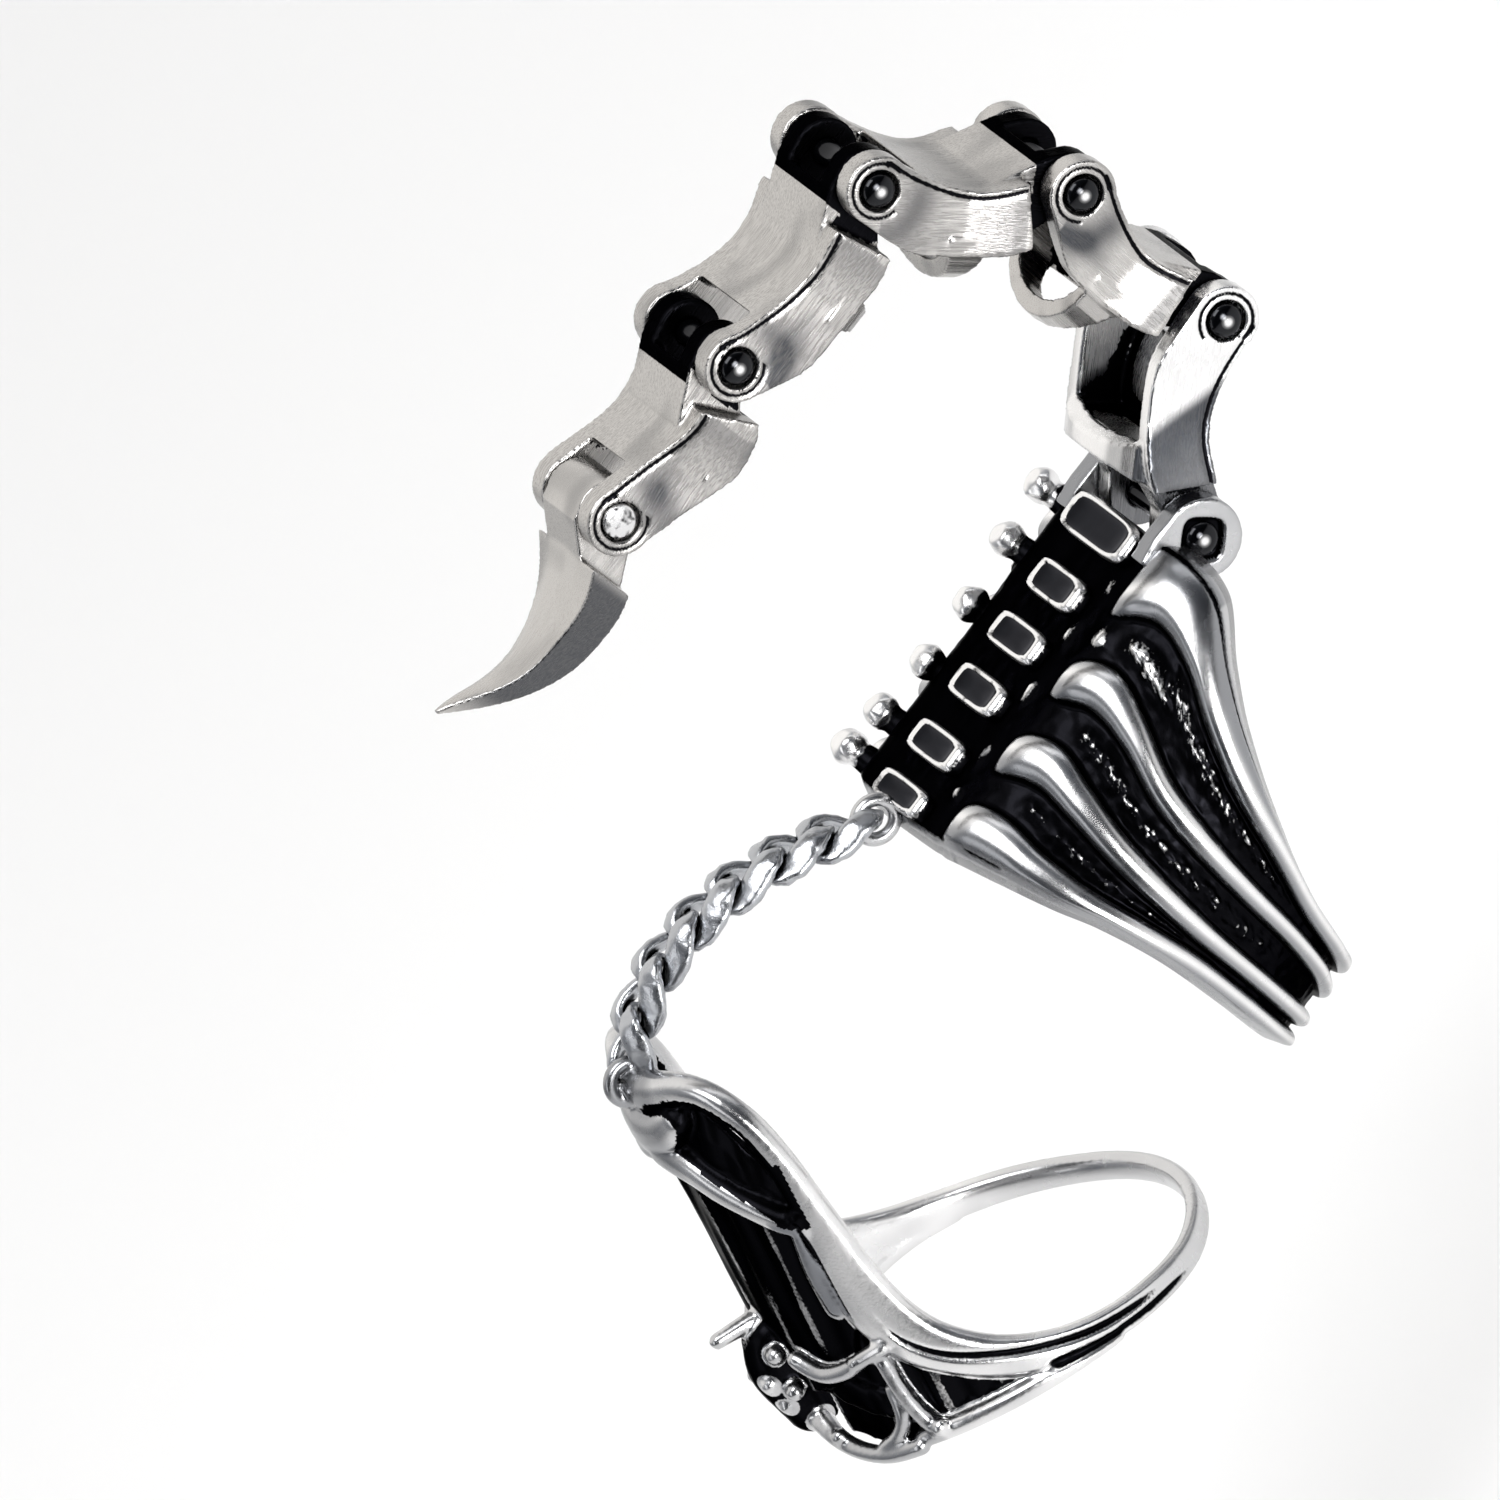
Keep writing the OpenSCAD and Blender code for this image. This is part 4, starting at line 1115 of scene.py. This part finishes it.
def build_lower_ring():
    bright, dark = lower_parts()
    tree = search_tree(joined("bars", bright))
    mesh = voxelled(joined("lower", bright + dark), LOWER_VOXEL)
    relax(mesh, 5)
    co = points_of(mesh)
    theta, t, height = finger_place(co)
    a = np.abs(theta)
    slit = soft_step(46.5, 50, a) * (1 - soft_step(100, 126, a)) * bell(t - along(SLIT, a), SLIT_W)
    under = soft_step(78, 84, a) * (1 - soft_step(115, 138, a)) * bell(t - along(UNDERCUT, a), UNDERCUT_W)
    groove = np.maximum(slit, under) * (height > 0.6)
    angle, start, end = CREASE
    crease = bell((a - angle) * MM_PER_DEGREE, CREASE_W) * soft_step(start, start + 0.6, t)
    crease = crease * (1 - soft_step(end - 0.8, end, t))
    groove = np.maximum(groove, crease * (height > 0.5))
    away = np.array([tree.find_nearest(Vector(p))[3] for p in co])
    folds = speckle(np.stack([theta * FOLD_TURN, t * FOLD_RUN, 0 * t], 1), 1.0, 2.0)
    relief = soft_step(0.1, 0.4, away) * folds * (height > 0.2)
    co += normals_of(mesh) * (FOLD_DEPTH * relief - GROOVE_DEPTH * groove)[:, None]
    set_points(mesh, co)
    seen = openness(mesh, 3)
    wear = soft_step(0.26, 0.1, away) * soft_step(0.22, 0.55, seen) + 0.5 * np.clip(ridges(mesh), 0, 1)
    window_front = 0.2 + along(RIM[:7], np.clip(a, 0, 41))
    window_back = along(LIMB, np.clip(a, 4, 40))
    window = (a > 5) & (a < 43) & (t > window_front) & (t < window_back)
    wear = np.where(window & (height < 1.6), 0.0, wear)
    outward = on_finger(theta, t, height + 1) - on_finger(theta, t, height)
    inward = (normals_of(mesh) * outward).sum(1) < -0.6
    wear = np.where(inward & (height < 0.25), 0.9, wear * (1 - np.clip(1.4 * groove, 0, 1)))
    strut = soft_step(5.8, 6.8, t) * (1 - soft_step(12, 13, t)) * soft_step(40, 38.8, a) * (a > 32.5)
    wear = np.where(away > 0.2, np.maximum(wear, 0.48 * soft_step(0.25, 0.5, folds) * (height > 0.3)), wear)
    paint(mesh, "wear", wear)
    # Painted greys: darker within about 40 degrees of the ring's top, in random clouds, and on the strut
    # and the claws
    clouds = speckle(np.stack([theta * 0.05, t * 0.3, height], 1), 1.5)
    grey_and_shade = 0.3 * (1 - soft_step(38, 46, a)) + 0.1 + 0.2 * clouds
    grey_and_shade = np.maximum(grey_and_shade, CLAW_GREY * (a > 11) * soft_step(50, 47, a) * (t > 14.3))
    # Painted shade on the hoop and the shoulder
    grey_and_shade = np.maximum(grey_and_shade, HOOP_SHADE * soft_step(95, 125, a))
    grey_and_shade = np.maximum(grey_and_shade, SHOULDER_SHADE * soft_step(20, 10, a) * (t < 5))
    # Painted shade in the ring's recesses
    grey_and_shade = np.maximum(grey_and_shade, 0.4 * (1 - soft_step(0.4, 0.85, seen)))
    paint(mesh, "shade_and_grey", np.maximum(STRUT_GREY * strut, grey_and_shade))
    obj = finish_piece("claw_ring", mesh, "rings", polished)
    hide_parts("lower_ring")


# All pieces

band = build_band()
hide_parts("upper_ring")
build_tablets()
build_beads()
build_base_ears()
build_plate_eye()
for number in range(5):
    build_link(number)
build_sting()
for number in range(6):
    build_rivet(number)
build_chain()
build_lower_ring()


# Stage and light

# The stage is in metres
FLOOR_BELOW = 0.03
FLOOR_SIZE = 3.0
FLOOR_GRAIN = 8
FLOOR_TONES = ((0.94, 0.94, 0.94, 1), (0.965, 0.965, 0.965, 1))


def add_floor():
    low = cad_bounds[0][2] - FLOOR_BELOW
    s = FLOOR_SIZE / 2
    mesh = make_mesh("floor", [(-s, -s, low), (s, -s, low), (s, s, low), (-s, s, low)], [(0, 1, 2, 3)])
    floor = new_object("floor", mesh)
    g = Graph("pale_floor")
    place = g.node("ShaderNodeTexCoord").outputs["Object"]
    g.fill(g.shader, Base_Color=g.mix(g.noise(place, FLOOR_GRAIN, 2), *FLOOR_TONES), Roughness=0.9)
    mesh.materials.append(g.material)


# Soft boxes: name, place, aim point, width, height, radiance, half the angle that they fan out to
LIGHTS = [
    ["key", (0.02, -0.19, 0.36), (0, 0, 0.01), 0.26, 0.2, 7, 90],
    ["left", (-0.36, -0.1, 0.2), (0, 0, 0.01), 0.12, 0.3, 1.6, 90],
    ["right", (0.34, -0.02, 0.2), (0, 0, 0.01), 0.1, 0.3, 1.6, 90],
    ["front", (0.03, -0.4, 0.04), (-0.01, 0, 0.015), 0.18, 0.18, 36, 14],
]


def add_lights():
    for name, place, aim, width, height, radiance, fan in LIGHTS:
        data = bpy.data.lights.new(name, "AREA")
        data.shape = "RECTANGLE"
        data.size, data.size_y = width, height
        data.energy = radiance * math.pi * width * height
        if fan < 90:
            fan = math.radians(fan)
            data.spread = 2 * fan
            data.energy *= 1 - fan / math.tan(fan)
        light = new_object(name, data)
        light.location = place
        light.rotation_euler = (Vector(aim) - Vector(place)).to_track_quat("-Z", "Y").to_euler()


# The sky's colours from the dark camera side to the bright side behind and above the object
SKY_TILT = (0.0, 0.38, 0.34)
SKY = [[0.3, (0.03, 0.033, 0.04)], [0.52, (0.11, 0.12, 0.14)], [0.72, (0.36, 0.37, 0.39)],
    [0.92, (1.2, 1.18, 1.15)]]


def add_world():
    world = bpy.data.worlds.new("studio")
    bpy.context.scene.world = world
    world.use_nodes = True
    nodes, links = world.node_tree.nodes, world.node_tree.links
    background = nodes["Background"]
    coordinates = nodes.new("ShaderNodeTexCoord")
    tilt = nodes.new("ShaderNodeVectorMath")
    tilt.operation = "DOT_PRODUCT"
    links.new(coordinates.outputs["Generated"], tilt.inputs[0])
    tilt.inputs[1].default_value = SKY_TILT
    shift = nodes.new("ShaderNodeMath")
    shift.operation = "ADD"
    links.new(tilt.outputs["Value"], shift.inputs[0])
    shift.inputs[1].default_value = 0.5
    ramp = nodes.new("ShaderNodeValToRGB")
    ramp.color_ramp.interpolation = "EASE"
    elements = ramp.color_ramp.elements
    while len(elements) < len(SKY):
        elements.new(0.5)
    for element, (position, colour) in zip(elements, SKY):
        element.position, element.color = position, colour + (1,)
    links.new(shift.outputs[0], ramp.inputs[0])
    links.new(ramp.outputs[0], background.inputs["Color"])


add_floor()
add_lights()
add_world()
bpy.context.scene.view_settings.view_transform = "Standard"
